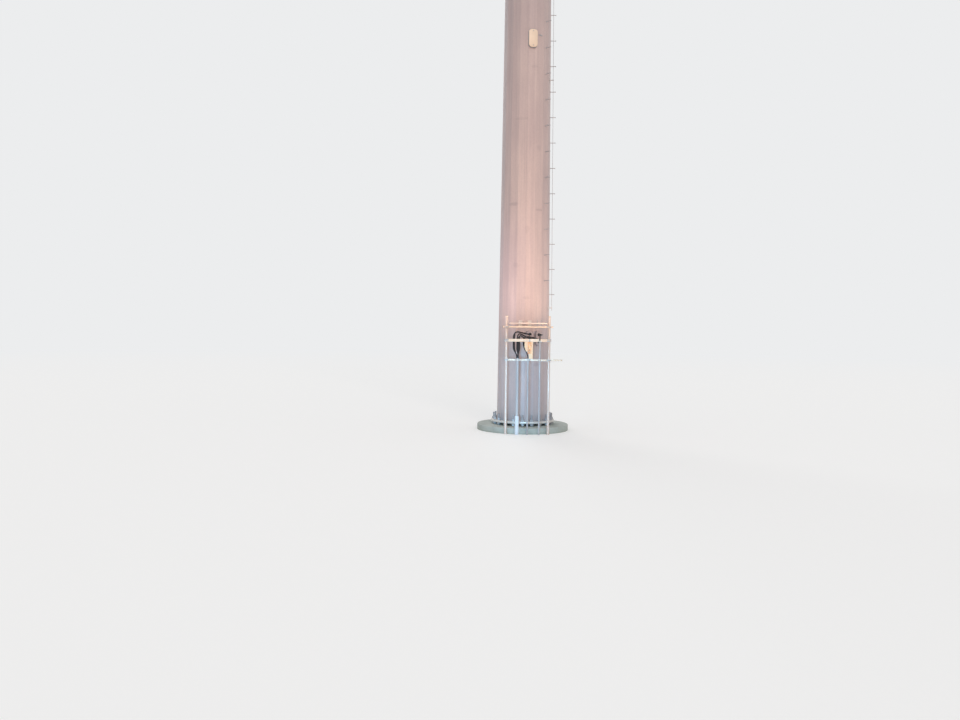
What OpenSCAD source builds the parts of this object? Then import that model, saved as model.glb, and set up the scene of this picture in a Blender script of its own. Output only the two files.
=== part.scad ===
// Monopole cell tower on its concrete pier, a model at half of real size, in millimetres.
// The origin is the middle of the pier's flat underside, at ground level, with +Z up.
// The front, with the cable frame and its risers, faces -Y, and +X is to its right.

/* [Foundation] */
// Diameter of the round concrete pier
pier_d = 1325; // [1280:5:1360]
// Height of the pier above the ground
pier_h = 84; // [60:1:200]
// Chamfer on the pier's top edge
pier_chamfer = 8; // [2:1:25]

/* [Base plate and anchors] */
// Thickness of the base plate
plate_t = 30; // [20:1:45]
// Open height between the pier and the base plate
anchor_gap = 38; // [34:1:60]
// Number of anchor bolts
anchor_count = 20; // [12:2:24]
// Diameter of an anchor bolt
anchor_d = 28; // [22:1:32]
// Clearance around an anchor bolt in the base plate
anchor_play = 1.5; // [0.5:0.1:3]
// Height of the bolt tips above the base plate
anchor_rise = 92; // [50:1:120]
// Distance from the shaft's flats out to the bolt centres
anchor_offset = 47; // [44:1:60]
// Distance from the bolt centres out to the plate's edge
anchor_margin = 39; // [32:1:50]
// Width of a nut across its flats
nut_af = 44; // [40:1:48]
// Height of a nut
nut_h = 26; // [20:1:28]
// Diameter of a washer
washer_d = 56; // [52:1:60]
// Thickness of a washer
washer_t = 4; // [3:0.5:6]
// Width of the ring of plate inside the shaft
plate_inner_ring = 95; // [60:1:150]

/* [Shaft] */
// Width of the shaft across its flats at the base plate
shaft_base_d = 748; // [730:2:770]
// Height of the shaft above the base plate
shaft_h = 28850; // [27000:50:30000]
// Diameter lost for each unit of height
shaft_taper = 0.0149; // [0.0142:0.0001:0.0156]
// Radius of the bend between two flats
bend_r = 24; // [12:1:40]
// Wall of the lowest section
wall_1 = 4.8; // [3.5:0.1:7]
// Wall of the second section
wall_2 = 4; // [3:0.1:6]
// Wall of the third section
wall_3 = 3.2; // [2.5:0.1:5]
// Wall of the top section
wall_4 = 2.6; // [2.4:0.1:4]
// Length of a slip joint as a multiple of the shaft's diameter there
lap_ratio = 1.5; // [1.3:0.05:1.7]
// Length that a jacking lug stands out of the shaft
lug_out = 30; // [20:1:40]
// Thickness of the plate that closes the shaft's top
cap_t = 6; // [4:1:12]
// Length of the lightning rod above the top plate
rod_l = 900; // [600:10:1200]
// Diameter of the lightning rod's pipe
rod_d = 24; // [18:1:34]

/* [Ports] */
// Width of a hand hole
port_w = 112; // [90:1:120]
// Height of a hand hole
port_h = 236; // [200:1:260]
// Height of the lowest hand hole's centre
hand_hole_z = 5530; // [5300:10:5900]
// Corner radius of a port as a share of its width
port_round = 0.32; // [0.2:0.02:0.48]
// Width of an exit port below the platform
exit_w = 56; // [50:1:70]
// Height of an exit port below the platform
exit_h = 118; // [100:1:140]
// Distance from the platform's collar down to an exit port's centre
exit_drop = 236; // [160:2:300]
// Wall of the rim around a port
rim_t = 6; // [4:0.5:9]
// Length that a rim stands out of the shaft
rim_out = 30; // [20:1:45]
// Length that a rim reaches inside the shaft
rim_in = 20; // [12:1:30]
// Thickness of a port cover
cover_t = 5; // [3:0.5:8]
// Width of a cable entry port
entry_w = 96; // [84:1:104]
// Height of a cable entry port
entry_h = 190; // [170:1:210]
// Height of the entry ports' centres
entry_z = 1330; // [1250:5:1500]

/* [Climbing] */
// Distance between two steps of one row
step_pitch = 366; // [345:1:395]
// Height of the lowest step
step_start_z = 1970; // [1700:5:2600]
// Length that a step bolt stands out of the shaft
step_l = 82; // [60:1:100]
// Diameter of a step bolt
step_d = 9.5; // [8:0.5:12]
// Diameter of the safety cable
safety_cable_d = 5; // [4:0.5:8]
// Distance from the shaft to the safety cable
cable_standoff = 54; // [48:1:70]
// Length of the safety cable below the lowest step
cable_tail = 240; // [200:10:400]
// Longest distance between two guides of the safety cable
guide_pitch = 3400; // [2600:50:4600]

/* [Cable frame] */
// Diameter of a frame post
post_d = 38; // [32:1:44]
// Wall of a frame post
post_wall = 3; // [2:0.5:5]
// Height of the frame posts above the entry ports' centres
post_rise = 295; // [285:5:310]
// Side position of the left post
post_left_x = -234; // [-260:1:-220]
// Side position of the right post
post_right_x = 351; // [345:1:400]
// Distance of the posts in front of the shaft's axis
post_front = 652; // [650:1:700]
// Width of a strut channel
strut_w = 20; // [18:1:24]
// Wall of a strut channel
strut_wall = 2; // [1.5:0.5:3]
// Length that the upper strut reaches beyond each post
strut_end = 30; // [25:1:60]
// Drop from the posts' tops to the strut under the deck
deck_strut_drop = 141; // [130:1:150]
// Drop from the posts' tops to the bar that holds the cables
cable_bar_drop = 325; // [315:1:335]
// Drop from the posts' tops to the strut that holds the risers
riser_strut_drop = 594; // [580:1:605]
// Length of the arm that the riser strut has beyond the right post
riser_arm_l = 160; // [80:1:220]
// Rise from the middle of the upper strut to the deck's underside
deck_lift = 41; // [35:1:70]
// Depth of the deck's frame
deck_t = 18; // [14:1:24]
// Thickness of the deck's angle frame
deck_leg_t = 3; // [2:0.5:5]
// Left end of the deck
deck_left_x = -196; // [-205:1:-190]
// Right end of the deck
deck_right_x = 322; // [318:1:330]
// Distance from the shaft to the deck's back edge
deck_gap = 30; // [20:1:60]
// Diameter of a threaded rod
hanger_d = 8; // [6:0.5:10]
// Distance from each end of the deck to its outer rod
rod_inset = 12; // [11:1:20]
// Side position of the middle between the two inner rods
inner_rods_x = 212; // [205:1:220]
// Distance between the two inner rods
inner_rod_gap = 48; // [40:1:56]
// Length that the two inner rods stand above the deck
inner_rod_rise = 44; // [30:1:60]
// Length that the two outer rods stand above the deck
outer_rod_rise = 16; // [12:1:60]

/* [Risers and cables] */
// Diameter of the thick riser
riser_d = 44; // [42:1:46]
// Diameter of the two thin risers
thin_riser_d = 24; // [22:1:28]
// Wall of the risers
riser_wall = 2.5; // [1.5:0.1:3]
// Length that the risers stand above the middle of their strut
riser_rise = 25; // [18:1:32]
// Diameter of the three thick cables
thick_cable_d = 17; // [15:0.5:17.5]
// Diameter of the two thin cables
thin_cable_d = 16; // [12:1:16]
// Outer diameter of the plastic sleeve at the ground
sleeve_d = 57; // [54:1:64]
// Height of the plastic sleeve
sleeve_h = 260; // [200:5:320]

/* [Ground bar] */
// Side position of the ground bar's middle
ground_bar_x = 85; // [84:1:92]
// Width of the ground bar
ground_bar_w = 50; // [44:1:54]
// Length of the ground bar, which stands upright
ground_bar_l = 160; // [150:1:165]
// Thickness of the ground bar
ground_bar_t = 3; // [2:0.5:4]
// Drop from the cable bar to the upper end of the ground bar
ground_bar_drop = 25; // [21:1:40]
// Length of an insulator
insulator_l = 14; // [10:1:20]

/* [Platform] */
// Height of the platform's face pipes below the shaft's top
platform_drop = 950; // [900:10:1400]
// Length of one face of the platform
face_l = 1905; // [1800:5:2000]
// Diameter of a face pipe
face_pipe_d = 44; // [38:1:56]
// Wall of a face pipe
face_pipe_wall = 3; // [2:0.5:5]
// Length that the face pipes and the handrail reach beyond the outer mast pipes
pipe_overhang = 20; // [18:1:24]
// Thickness of a corner plate
corner_t = 8; // [6:0.5:12]
// Distance from the platform's corner to a corner plate's inner end
corner_inner = 240; // [200:5:300]
// Distance from the platform's corner to a corner plate's outer end
corner_outer = 70; // [68:1:90]
// Width of a square platform arm
arm_w = 50; // [44:1:60]
// Wall of a square platform arm
arm_wall = 4; // [3:0.5:6]
// Height of the collar around the shaft
collar_h = 200; // [160:5:260]
// Thickness of the collar
collar_t = 8; // [6:0.5:12]
// Length of the ears that clamp the collar's three parts together
ear_l = 40; // [30:1:50]
// Thickness of the grating
grating_t = 14; // [10:1:20]
// Height of the handrail above the face pipes
rail_h = 535; // [520:5:560]
// Diameter of the mast pipes and the handrail
mast_d = 30; // [28:1:34]
// Wall of the mast pipes and the handrail
mast_wall = 2.5; // [2:0.1:4]
// Length of a mast pipe
mast_l = 1450; // [1400:10:1600]
// Length of a mast pipe below the face pipes
mast_drop = 350; // [300:5:400]
// Distance from the platform's corner to an outer mast pipe
mast_corner = 70; // [66:1:90]

/* [Antennas] */
// Height of a panel antenna
antenna_h = 1220; // [1000:10:1250]
// Width of a panel antenna
antenna_w = 152; // [140:1:180]
// Depth of a panel antenna
antenna_t = 84; // [70:1:100]
// Radius of a panel antenna's long edges
antenna_r = 26; // [12:1:34]
// Distance from a mast pipe to the antenna's back
antenna_gap = 42; // [34:1:60]
// Height of a radio unit
radio_h = 240; // [200:5:260]
// Width of a radio unit
radio_w = 165; // [150:1:180]
// Depth of a radio unit with its fins, without its rail
radio_t = 92; // [80:1:110]
// Height of the lower radio units above the face pipes
radio_lift = 160; // [120:5:200]
// Height of an antenna bracket
bracket_h = 36; // [30:1:44]
// Clearance between an upper radio unit and the antenna bracket over it
bracket_over = 10.6; // [8:0.1:20]
// Clearance between a face pipe and the antenna bracket under it
bracket_under = 48.6; // [30:0.1:60]
// Diameter of the surge box
surge_d = 124; // [100:2:140]
// Height of the surge box
surge_h = 260; // [200:5:300]

/* [Hidden] */

// Clearance between two pieces that seat on each other
seat = 0.3;
// Small overlap that makes a cut go right through
cut = 1;
$fn = 48;

// Colours of the finishes
GALV = [0.78, 0.76, 0.74];
GALV_DARK = [0.62, 0.62, 0.62];
CONCRETE = [0.74, 0.72, 0.68];
BRIGHT = [0.93, 0.91, 0.86];
BLACK = [0.05, 0.05, 0.06];
PVC = [0.92, 0.93, 0.94];
COPPER = [0.72, 0.43, 0.26];
RADOME = [0.83, 0.84, 0.83];

// The shaft has 18 flats, and one of them faces 13 degrees right of the front
SIDES = 18;
FLAT_STEP = 360 / SIDES;
FLAT_TURN = 13;
slope = atan(shaft_taper / 2);

// Its four sections share the height evenly, and the last one is number 3
LAST = 3;
section_walls = [wall_1, wall_2, wall_3, wall_4];
section_pitch = shaft_h / (LAST + 1);

plate_z = pier_h + anchor_gap;
plate_top = plate_z + plate_t;
shaft_top = plate_top + shaft_h;
anchor_circle_r = shaft_base_d / 2 + anchor_offset;
plate_r = anchor_circle_r + anchor_margin;
plate_hole_r = shaft_base_d / 2 - plate_inner_ring;

// Ends, slip joints and widths of the sections, counted from 0: each slips over the one below
function section_bottom(i) = plate_top + i * section_pitch;
function section_top(i) = i == LAST ? shaft_top : section_bottom(i + 1) + lap(i);
function lap(i) = lap_ratio * flats_at(i, section_bottom(i + 1));
function bottom_flats(i) = i == 0
    ? shaft_base_d
    : flats_at(i - 1, section_bottom(i)) + 2 * (section_walls[i] + seat);
function flats_at(i, z) = bottom_flats(i) - shaft_taper * (z - section_bottom(i));

// The outermost section at a height, and the distance from the axis to its flats
function outer_section(z) = max([for (i = [0:LAST]) section_bottom(i) <= z ? i : 0]);
function flat_r(z) = flats_at(outer_section(z), z) / 2;
function flat_angle(k) = FLAT_TURN + k * FLAT_STEP;

// Outline of the shaft across its flats, with each bend as two short chords
BEND_CHORDS = 2;
function bend_points(flats, k) = [
    for (j = [0:BEND_CHORDS])
        let (corner = flat_angle(k) + FLAT_STEP / 2,
             turn = corner - FLAT_STEP / 2 + j * FLAT_STEP / BEND_CHORDS,
             centre_r = (flats / 2 - bend_r) / cos(FLAT_STEP / 2))
        [centre_r * sin(corner) + bend_r * sin(turn),
         -centre_r * cos(corner) - bend_r * cos(turn)]
];
function shaft_outline(flats) = [for (k = [0:SIDES - 1]) each bend_points(flats, k)];

// A tapered length of the shaft's outline between two heights
module shaft_solid(flats, z0, z1) {
    grown = flats - shaft_taper * (z1 - z0);
    translate([0, 0, z0])
        linear_extrude(height = z1 - z0, scale = grown / flats)
            polygon(shaft_outline(flats));
}

// Puts children on the shaft: X along the flat, Y up it and Z straight out of it
module on_shaft(angle, z) {
    rotate([0, 0, angle])
        translate([0, -flat_r(z), z])
            rotate([90 - slope, 0, 0])
                children();
}

// The outline of a port w wide and h high with round corners, grown by a margin
module port_outline(w, h, margin) {
    corner = port_round * w;
    x = w / 2 - corner;
    y = h / 2 - corner;
    square([w + 2 * margin, 2 * y], center = true);
    square([2 * x, h + 2 * margin], center = true);
    for (side = [-1, 1], end = [-1, 1])
        translate([side * x, end * y])
            circle(r = corner + margin);
}

// The platform's arms pass under its face pipes, with a corner plate between them
platform_z = shaft_top - platform_drop;
corner_z = platform_z - face_pipe_d / 2 - seat - corner_t;
arm_z = corner_z - seat - arm_w / 2;
collar_z = arm_z - collar_h / 2;

// Hand holes: one in each of the three lower sections, at like places
hand_holes = [for (i = [0:LAST - 1]) [flat_angle(0), hand_hole_z + i * section_pitch]];
// Exit ports: one under each face of the platform
exit_ports = [for (k = [0, 6, 12]) [flat_angle(k), collar_z - exit_drop]];
entry_ports = [for (k = [0, 1]) [flat_angle(k), entry_z]];

// The cut for a port's rim, long enough to go through the shaft's wall
port_cut_l = 60;

module port_hole(angle, z, w, h) {
    on_shaft(angle, z)
        translate([0, 0, -port_cut_l / 2])
            linear_extrude(height = port_cut_l)
                port_outline(w, h, rim_t + seat);
}

module port_rim(angle, z, w, h) {
    on_shaft(angle, z)
        translate([0, 0, -rim_in])
            linear_extrude(height = rim_in + rim_out)
                difference() {
                    port_outline(w, h, rim_t);
                    port_outline(w, h, 0);
                }
}

module shaft_section(i) {
    z0 = section_bottom(i);
    z1 = section_top(i);
    inner = bottom_flats(i) - 2 * section_walls[i] + shaft_taper * cut;
    color(GALV)
        difference() {
            shaft_solid(bottom_flats(i), z0, z1);
            shaft_solid(inner, z0 - cut, z1 + cut);
            if (i < LAST)
                port_hole(hand_holes[i][0], hand_holes[i][1], port_w, port_h);
            if (i == 0)
                for (p = entry_ports)
                    port_hole(p[0], p[1], entry_w, entry_h);
            if (i == LAST)
                for (p = exit_ports)
                    port_hole(p[0], p[1], exit_w, exit_h);
        }
}

// Pairs of drilled lugs, by which each slip joint was pulled together
lug_angles = [for (k = [6, 15]) flat_angle(k)];

module jacking_lugs() {
    lug_w = 34;
    lug_h = 44;
    hole_d = 14;
    apart = 60;
    color(GALV_DARK)
        for (i = [1:LAST], angle = lug_angles, side = [-1, 1])
            on_shaft(angle, section_bottom(i) + side * apart)
                difference() {
                    translate([-lug_w / 2, -lug_h / 2, 0])
                        cube([lug_w, lug_h, lug_out]);
                    translate([0, lug_h / 2 + cut, lug_out / 2])
                        rotate([90, 0, 0])
                            cylinder(d = hole_d, h = lug_h + 2 * cut);
                }
}

module concrete_pier() {
    r = pier_d / 2;
    color(CONCRETE)
        rotate_extrude($fn = 96)
            polygon([
                [0, 0], [r, 0], [r, pier_h - pier_chamfer], [r - pier_chamfer, pier_h], [0, pier_h]
            ]);
}

// Repeats children around the anchor circle, the first one at the front
module at_anchors() {
    for (i = [0:anchor_count - 1])
        rotate([0, 0, i * 360 / anchor_count])
            translate([0, -anchor_circle_r, 0])
                children();
}

module base_plate() {
    color(GALV_DARK)
        difference() {
            translate([0, 0, plate_z])
                cylinder(r = plate_r, h = plate_t, $fn = 96);
            translate([0, 0, plate_z - cut])
                cylinder(r = plate_hole_r, h = plate_t + 2 * cut, $fn = 96);
            at_anchors()
                translate([0, 0, plate_z - cut])
                    cylinder(d = anchor_d + 2 * anchor_play, h = plate_t + 2 * cut);
        }
}

module anchor_bolts() {
    tip = 2.5;
    color(GALV_DARK)
        at_anchors() {
            translate([0, 0, pier_h])
                cylinder(d = anchor_d, h = anchor_gap + plate_t + anchor_rise - tip);
            translate([0, 0, plate_top + anchor_rise - tip])
                cylinder(d1 = anchor_d, d2 = anchor_d - 2 * tip, h = tip);
        }
}

// A nut on its washer, with the washer at the bottom
module washer_and_nut() {
    difference() {
        union() {
            cylinder(d = washer_d, h = washer_t);
            translate([0, 0, washer_t])
                cylinder(d = nut_af / cos(30), h = nut_h, $fn = 6);
        }
        translate([0, 0, -cut])
            cylinder(d = anchor_d + 2 * seat, h = washer_t + nut_h + 2 * cut);
    }
}

module anchor_nuts() {
    color(GALV_DARK)
        at_anchors()
            translate([0, 0, plate_top])
                washer_and_nut();
}

module levelling_nuts() {
    color(GALV_DARK)
        at_anchors()
            translate([0, 0, plate_z])
                mirror([0, 0, 1])
                    washer_and_nut();
}

module port_rims() {
    color(GALV_DARK) {
        for (p = hand_holes)
            port_rim(p[0], p[1], port_w, port_h);
        for (p = exit_ports)
            port_rim(p[0], p[1], exit_w, exit_h);
    }
}

// A lid that seats on a rim's outer face
module port_cover(angle, z, w, h) {
    on_shaft(angle, z)
        translate([0, 0, rim_out])
            linear_extrude(height = cover_t)
                port_outline(w, h, rim_t);
}

module port_covers() {
    color(BRIGHT) {
        for (p = hand_holes)
            port_cover(p[0], p[1], port_w, port_h);
        for (p = entry_ports)
            port_cover(p[0], p[1], entry_w, entry_h);
        for (p = exit_ports)
            port_cover(p[0], p[1], exit_w, exit_h);
    }
}

module entry_port_rims() {
    color(GALV)
        for (p = entry_ports)
            port_rim(p[0], p[1], entry_w, entry_h);
}

// Rubber boots on the entry ports' covers hold the cables
module boot(angle, row, cable_d) {
    flange_t = 5;
    flange_d = 44;
    collar_l = 26;
    collar_wall = 5;
    play = 0.6;
    on_shaft(angle, entry_z)
        translate([0, row, rim_out + cover_t])
            difference() {
                union() {
                    cylinder(d = flange_d, h = flange_t);
                    cylinder(d = cable_d + 2 * (play + collar_wall), h = flange_t + collar_l);
                }
                translate([0, 0, -cut])
                    cylinder(d = cable_d + 2 * play, h = flange_t + collar_l + 2 * cut);
            }
}

module entry_port_boots() {
    thick_rows = [-55, 0, 55];
    thin_rows = [-50, 50];
    color(BLACK) {
        for (row = thick_rows)
            boot(flat_angle(0), row, thick_cable_d);
        for (row = thin_rows)
            boot(flat_angle(1), row, thin_cable_d);
    }
}

// Steps stand on two flats, in turn left and right of the safety cable's flat
step_angles = [for (k = [4, 2]) flat_angle(k)];
cable_angle = flat_angle(3);
climb_top_z = platform_z - collar_h;
step_head_d = 18;
step_head_t = 4;
step_nut_af = 16;
step_nut_t = 8;
step_rounds = floor((climb_top_z - step_start_z) / step_pitch);

module step_bolt(angle, z) {
    on_shaft(angle, z) {
        cylinder(d = step_d, h = step_l, $fn = 16);
        translate([0, 0, seat])
            cylinder(d = step_nut_af / cos(30), h = step_nut_t, $fn = 6);
        translate([0, 0, step_l - step_head_t])
            cylinder(d = step_head_d, h = step_head_t, $fn = 16);
    }
}

// The steps whose outermost section is number i
module step_bolts(i) {
    color(GALV_DARK)
        for (n = [0:step_rounds], row = [0, 1]) {
            z = step_start_z + (n + row / 2) * step_pitch;
            near_joint = min([for (j = [1:LAST]) abs(z - section_bottom(j))]) < step_nut_af;
            if (outer_section(z) == i && z < climb_top_z && !near_joint)
                step_bolt(step_angles[row], z);
        }
}

// The safety cable is one straight line beside the shaft, held by its guides
cable_z0 = step_start_z - cable_tail;
cable_z1 = climb_top_z;
cable_r0 = flat_r(cable_z0) + cable_standoff;
cable_r1 = flat_r(cable_z1) + cable_standoff;
cable_rise = cable_z1 - cable_z0;
cable_lean = atan((cable_r0 - cable_r1) / cable_rise);
guide_t = 10;
guide_foot_w = 32;
guide_foot_h = 40;
guide_run = cable_rise - 2 * guide_foot_h;
guide_spans = ceil(guide_run / guide_pitch);
function cable_r(z) = cable_r0 + (cable_r1 - cable_r0) * (z - cable_z0) / cable_rise;

module safety_cable() {
    color(GALV)
        rotate([0, 0, cable_angle])
            translate([0, -cable_r0, cable_z0])
                rotate([-cable_lean, 0, 0])
                    cylinder(d = safety_cable_d, h = cable_rise / cos(cable_lean), $fn = 16);
}

// One guide: a foot on the flat and an arm with an eye around the cable
module cable_guide(z) {
    foot_t = 5;
    eye_wall = 6;
    reach = cable_r(z) - flat_r(z);
    rotate([0, 0, cable_angle])
        translate([0, -flat_r(z), z])
            difference() {
                union() {
                    rotate([90 - slope, 0, 0])
                        translate([-guide_foot_w / 2, -guide_foot_h / 2, 0])
                            cube([guide_foot_w, guide_foot_h, foot_t]);
                    translate([-guide_t / 2, -reach, -guide_t / 2])
                        cube([guide_t, reach - foot_t / 2, guide_t]);
                    translate([0, -reach, -guide_t / 2])
                        cylinder(d = safety_cable_d + 2 * eye_wall, h = guide_t);
                }
                translate([0, -reach, -guide_t])
                    cylinder(d = safety_cable_d + 2 * seat, h = 2 * guide_t);
            }
}

module cable_guides() {
    color(GALV_DARK)
        for (n = [0:guide_spans])
            cable_guide(cable_z0 + guide_foot_h + n * guide_run / guide_spans);
}

module top_cap() {
    lip = 8;
    r = flats_at(LAST, shaft_top) / 2 / cos(FLAT_STEP / 2) + lip;
    color(GALV)
        translate([0, 0, shaft_top])
            cylinder(r = r, h = cap_t);
}

// A pipe with a foot plate on the top cap and a pointed rod above it
module lightning_rod() {
    foot_r = 45;
    foot_t = 6;
    point_d = 8;
    point_l = 20;
    pipe_l = rod_l / 2;
    r = rod_d / 2;
    color(GALV)
        translate([0, 0, shaft_top + cap_t])
            rotate_extrude()
                polygon([
                    [0, 0], [foot_r, 0], [foot_r, foot_t], [r, foot_t], [r, pipe_l],
                    [point_d / 2, pipe_l + r], [point_d / 2, rod_l - point_l], [0, rod_l]
                ]);
}

// The cable frame: two posts in front of the pier, with struts on their front
post_xs = [post_left_x, post_right_x];
strut_y = -post_front - post_d / 2 - seat - strut_w;
rod_y = strut_y + strut_w / 2;
post_h = entry_z + post_rise;
deck_strut_z = post_h - deck_strut_drop;
cable_bar_z = post_h - cable_bar_drop;
riser_strut_z = post_h - riser_strut_drop;
deck_z = deck_strut_z + deck_lift;
deck_back_y = -flat_r(deck_z) - deck_gap;
inner_rod_xs = [inner_rods_x - inner_rod_gap / 2, inner_rods_x + inner_rod_gap / 2];
outer_rod_xs = [deck_left_x + rod_inset, deck_right_x - rod_inset];

// A pipe standing up, open at both ends
module pipe(d, wall, h) {
    difference() {
        cylinder(d = d, h = h);
        translate([0, 0, -cut])
            cylinder(d = d - 2 * wall, h = h + 2 * cut);
    }
}

module bridge_posts() {
    color(GALV)
        for (x = post_xs)
            translate([x, -post_front, 0])
                pipe(post_d, post_wall, post_h);
}

module post_caps() {
    cap_h = 10;
    lip = 2;
    bevel = 4;
    r = post_d / 2 + lip;
    color(BRIGHT)
        for (x = post_xs)
            translate([x, -post_front, post_h])
                rotate_extrude()
                    polygon([[0, 0], [r, 0], [r, cap_h - bevel], [r - bevel, cap_h], [0, cap_h]]);
}

// The section of a strut: a channel with inturned lips, open along +Y
module strut_section() {
    lip = strut_w / 4;
    half = strut_w / 2;
    in = half - strut_wall;
    polygon([
        [-half, -half], [half, -half], [half, half], [half - lip, half], [half - lip, in], [in, in],
        [in, -in], [-in, -in], [-in, in], [lip - half, in], [lip - half, half], [-half, half]
    ]);
}

// A length of strut, turned from open upward at 0 to open backward at -90
module strut(x0, x1, z, turn) {
    translate([x0, rod_y, z])
        rotate([90, 0, 90])
            linear_extrude(height = x1 - x0)
                rotate(turn)
                    strut_section();
}

// Two struts back to back, one open upward and one downward, which overlap a little
module double_strut(x0, x1, z) {
    apart = (strut_w - seat) / 2;
    strut(x0, x1, z + apart, 0);
    strut(x0, x1, z - apart, 180);
}

module rod_holes(z) {
    for (x = concat(inner_rod_xs, outer_rod_xs))
        translate([x, rod_y, z - strut_w])
            cylinder(d = hanger_d + 2 * seat, h = 2 * strut_w, $fn = 24);
}

// The single struts have their closed sides to the front, and the double one holds the cables
module cross_struts() {
    x0 = post_left_x - post_d / 2;
    x1 = post_right_x + post_d / 2;
    back = -90;
    color(GALV) {
        difference() {
            strut(x0 - strut_end, x1 + strut_end, deck_strut_z, back);
            rod_holes(deck_strut_z);
        }
        double_strut(x0, x1, cable_bar_z);
        strut(x0, x1 + riser_arm_l, riser_strut_z, back);
    }
}

// The deck: a frame of angles, with bearing bars from front to back
module bridge_deck() {
    bar_t = 4;
    bars = 13;
    leg = deck_leg_t;
    l = deck_right_x - deck_left_x;
    w = deck_back_y - strut_y;
    color(GALV)
        difference() {
            translate([deck_left_x, strut_y, deck_z]) {
                difference() {
                    cube([l, w, deck_t]);
                    translate([leg, leg, leg])
                        cube([l - 2 * leg, w - 2 * leg, deck_t]);
                    translate([strut_w, strut_w, -cut])
                        cube([l - 2 * strut_w, w - 2 * strut_w, deck_t]);
                }
                for (i = [1:bars])
                    translate([i * l / (bars + 1) - bar_t / 2, leg / 2, leg / 2])
                        cube([bar_t, w - leg, deck_t - leg / 2]);
            }
            rod_holes(deck_z);
        }
}

// Threaded rods carry the deck on the strut, with a nut on each side of both
module hanger_rods() {
    nut_t = 6;
    nut_af = 13;
    tail = 14;
    top_z = deck_z + deck_t;
    rises = [inner_rod_rise, inner_rod_rise, outer_rod_rise, outer_rod_rise];
    xs = concat(inner_rod_xs, outer_rod_xs);
    strut_bottom = deck_strut_z - strut_w / 2;
    nut_zs = [
        strut_bottom - seat - nut_t, strut_bottom + strut_w + seat,
        deck_z - seat - nut_t, deck_z + deck_leg_t + seat
    ];
    color(GALV_DARK)
        for (i = [0:len(xs) - 1])
            translate([xs[i], rod_y, 0]) {
                translate([0, 0, strut_bottom - tail])
                    cylinder(d = hanger_d, h = top_z + rises[i] - strut_bottom + tail, $fn = 24);
                for (z = nut_zs)
                    translate([0, 0, z])
                        cylinder(d = nut_af / cos(30), h = nut_t, $fn = 6);
            }
}

// Two brackets tie the deck's back edge to the shaft
module pole_brackets() {
    foot_w = 54;
    foot_h = 90;
    foot_t = 10;
    arm = 18;
    z = deck_z + deck_t / 2;
    color(GALV_DARK)
        for (k = [-1, 0]) {
            angle = flat_angle(k);
            x = flat_r(z) * sin(angle);
            foot_y = (x * sin(angle) - flat_r(z) - foot_t / 2) / cos(angle);
            on_shaft(angle, z)
                translate([-foot_w / 2, -foot_h / 2, 0])
                    cube([foot_w, foot_h, foot_t]);
            translate([x - arm / 2, deck_back_y, deck_z])
                cube([arm, foot_y - deck_back_y, deck_t]);
        }
}

// Risers stand in front of the struts, outside the pier, and the last one ends at the cable bar
thick_riser_x = -78;
thin_riser_xs = [65, 224];
riser_top_z = riser_strut_z + riser_rise;
thin_riser_tops = [riser_top_z, cable_bar_z - strut_w / 2];
function riser_y(d) = strut_y - seat - d / 2;

module conduit_risers() {
    color(GALV) {
        translate([thick_riser_x, riser_y(riser_d), 0])
            pipe(riser_d, riser_wall, riser_top_z);
        for (i = [0, 1])
            translate([thin_riser_xs[i], riser_y(thin_riser_d), 0])
                pipe(thin_riser_d, riser_wall, thin_riser_tops[i]);
    }
}

module ground_sleeve() {
    r = sleeve_d / 2;
    bore = riser_d / 2 + seat;
    wall = 4;
    top = 20;
    color(PVC)
        translate([thick_riser_x, riser_y(riser_d), 0])
            rotate_extrude()
                polygon([
                    [r - wall, 0], [r, 0], [r, sleeve_h], [bore, sleeve_h],
                    [bore, sleeve_h - top], [r - wall, sleeve_h - top]
                ]);
}

// A tube through a list of points, one ring of sides at each point
TUBE_SIDES = 10;
function unit(v) = v / norm(v);
function tangent(path, i) = unit(path[min(i + 1, len(path) - 1)] - path[max(i - 1, 0)]);
function side_of(t) = unit(cross(t, abs(t.z) > 0.9 ? [0, 1, 0] : [0, 0, 1]));
// Each ring's first direction follows from the ring before it, so the tube never twists
function carried(path, i) = i == 0
    ? side_of(tangent(path, 0))
    : let (t = tangent(path, i), last = carried(path, i - 1)) unit(last - (last * t) * t);
function ring(path, i, r) =
    let (t = tangent(path, i), u = carried(path, i), v = cross(t, u))
    [for (s = [0:TUBE_SIDES - 1])
        path[i] + r * (cos(s * 360 / TUBE_SIDES) * u + sin(s * 360 / TUBE_SIDES) * v)];

module tube(path, d) {
    n = len(path);
    points = [for (i = [0:n - 1]) each ring(path, i, d / 2)];
    sides = [
        for (i = [0:n - 2], s = [0:TUBE_SIDES - 1])
            let (next = (s + 1) % TUBE_SIDES, a = i * TUBE_SIDES)
            [a + s, a + next, a + next + TUBE_SIDES, a + s + TUBE_SIDES]
    ];
    start = [for (s = [TUBE_SIDES - 1:-1:0]) s];
    end = [for (s = [0:TUBE_SIDES - 1]) (n - 1) * TUBE_SIDES + s];
    polyhedron(points = points, faces = concat([start], sides, [end]), convexity = 6);
}

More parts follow.
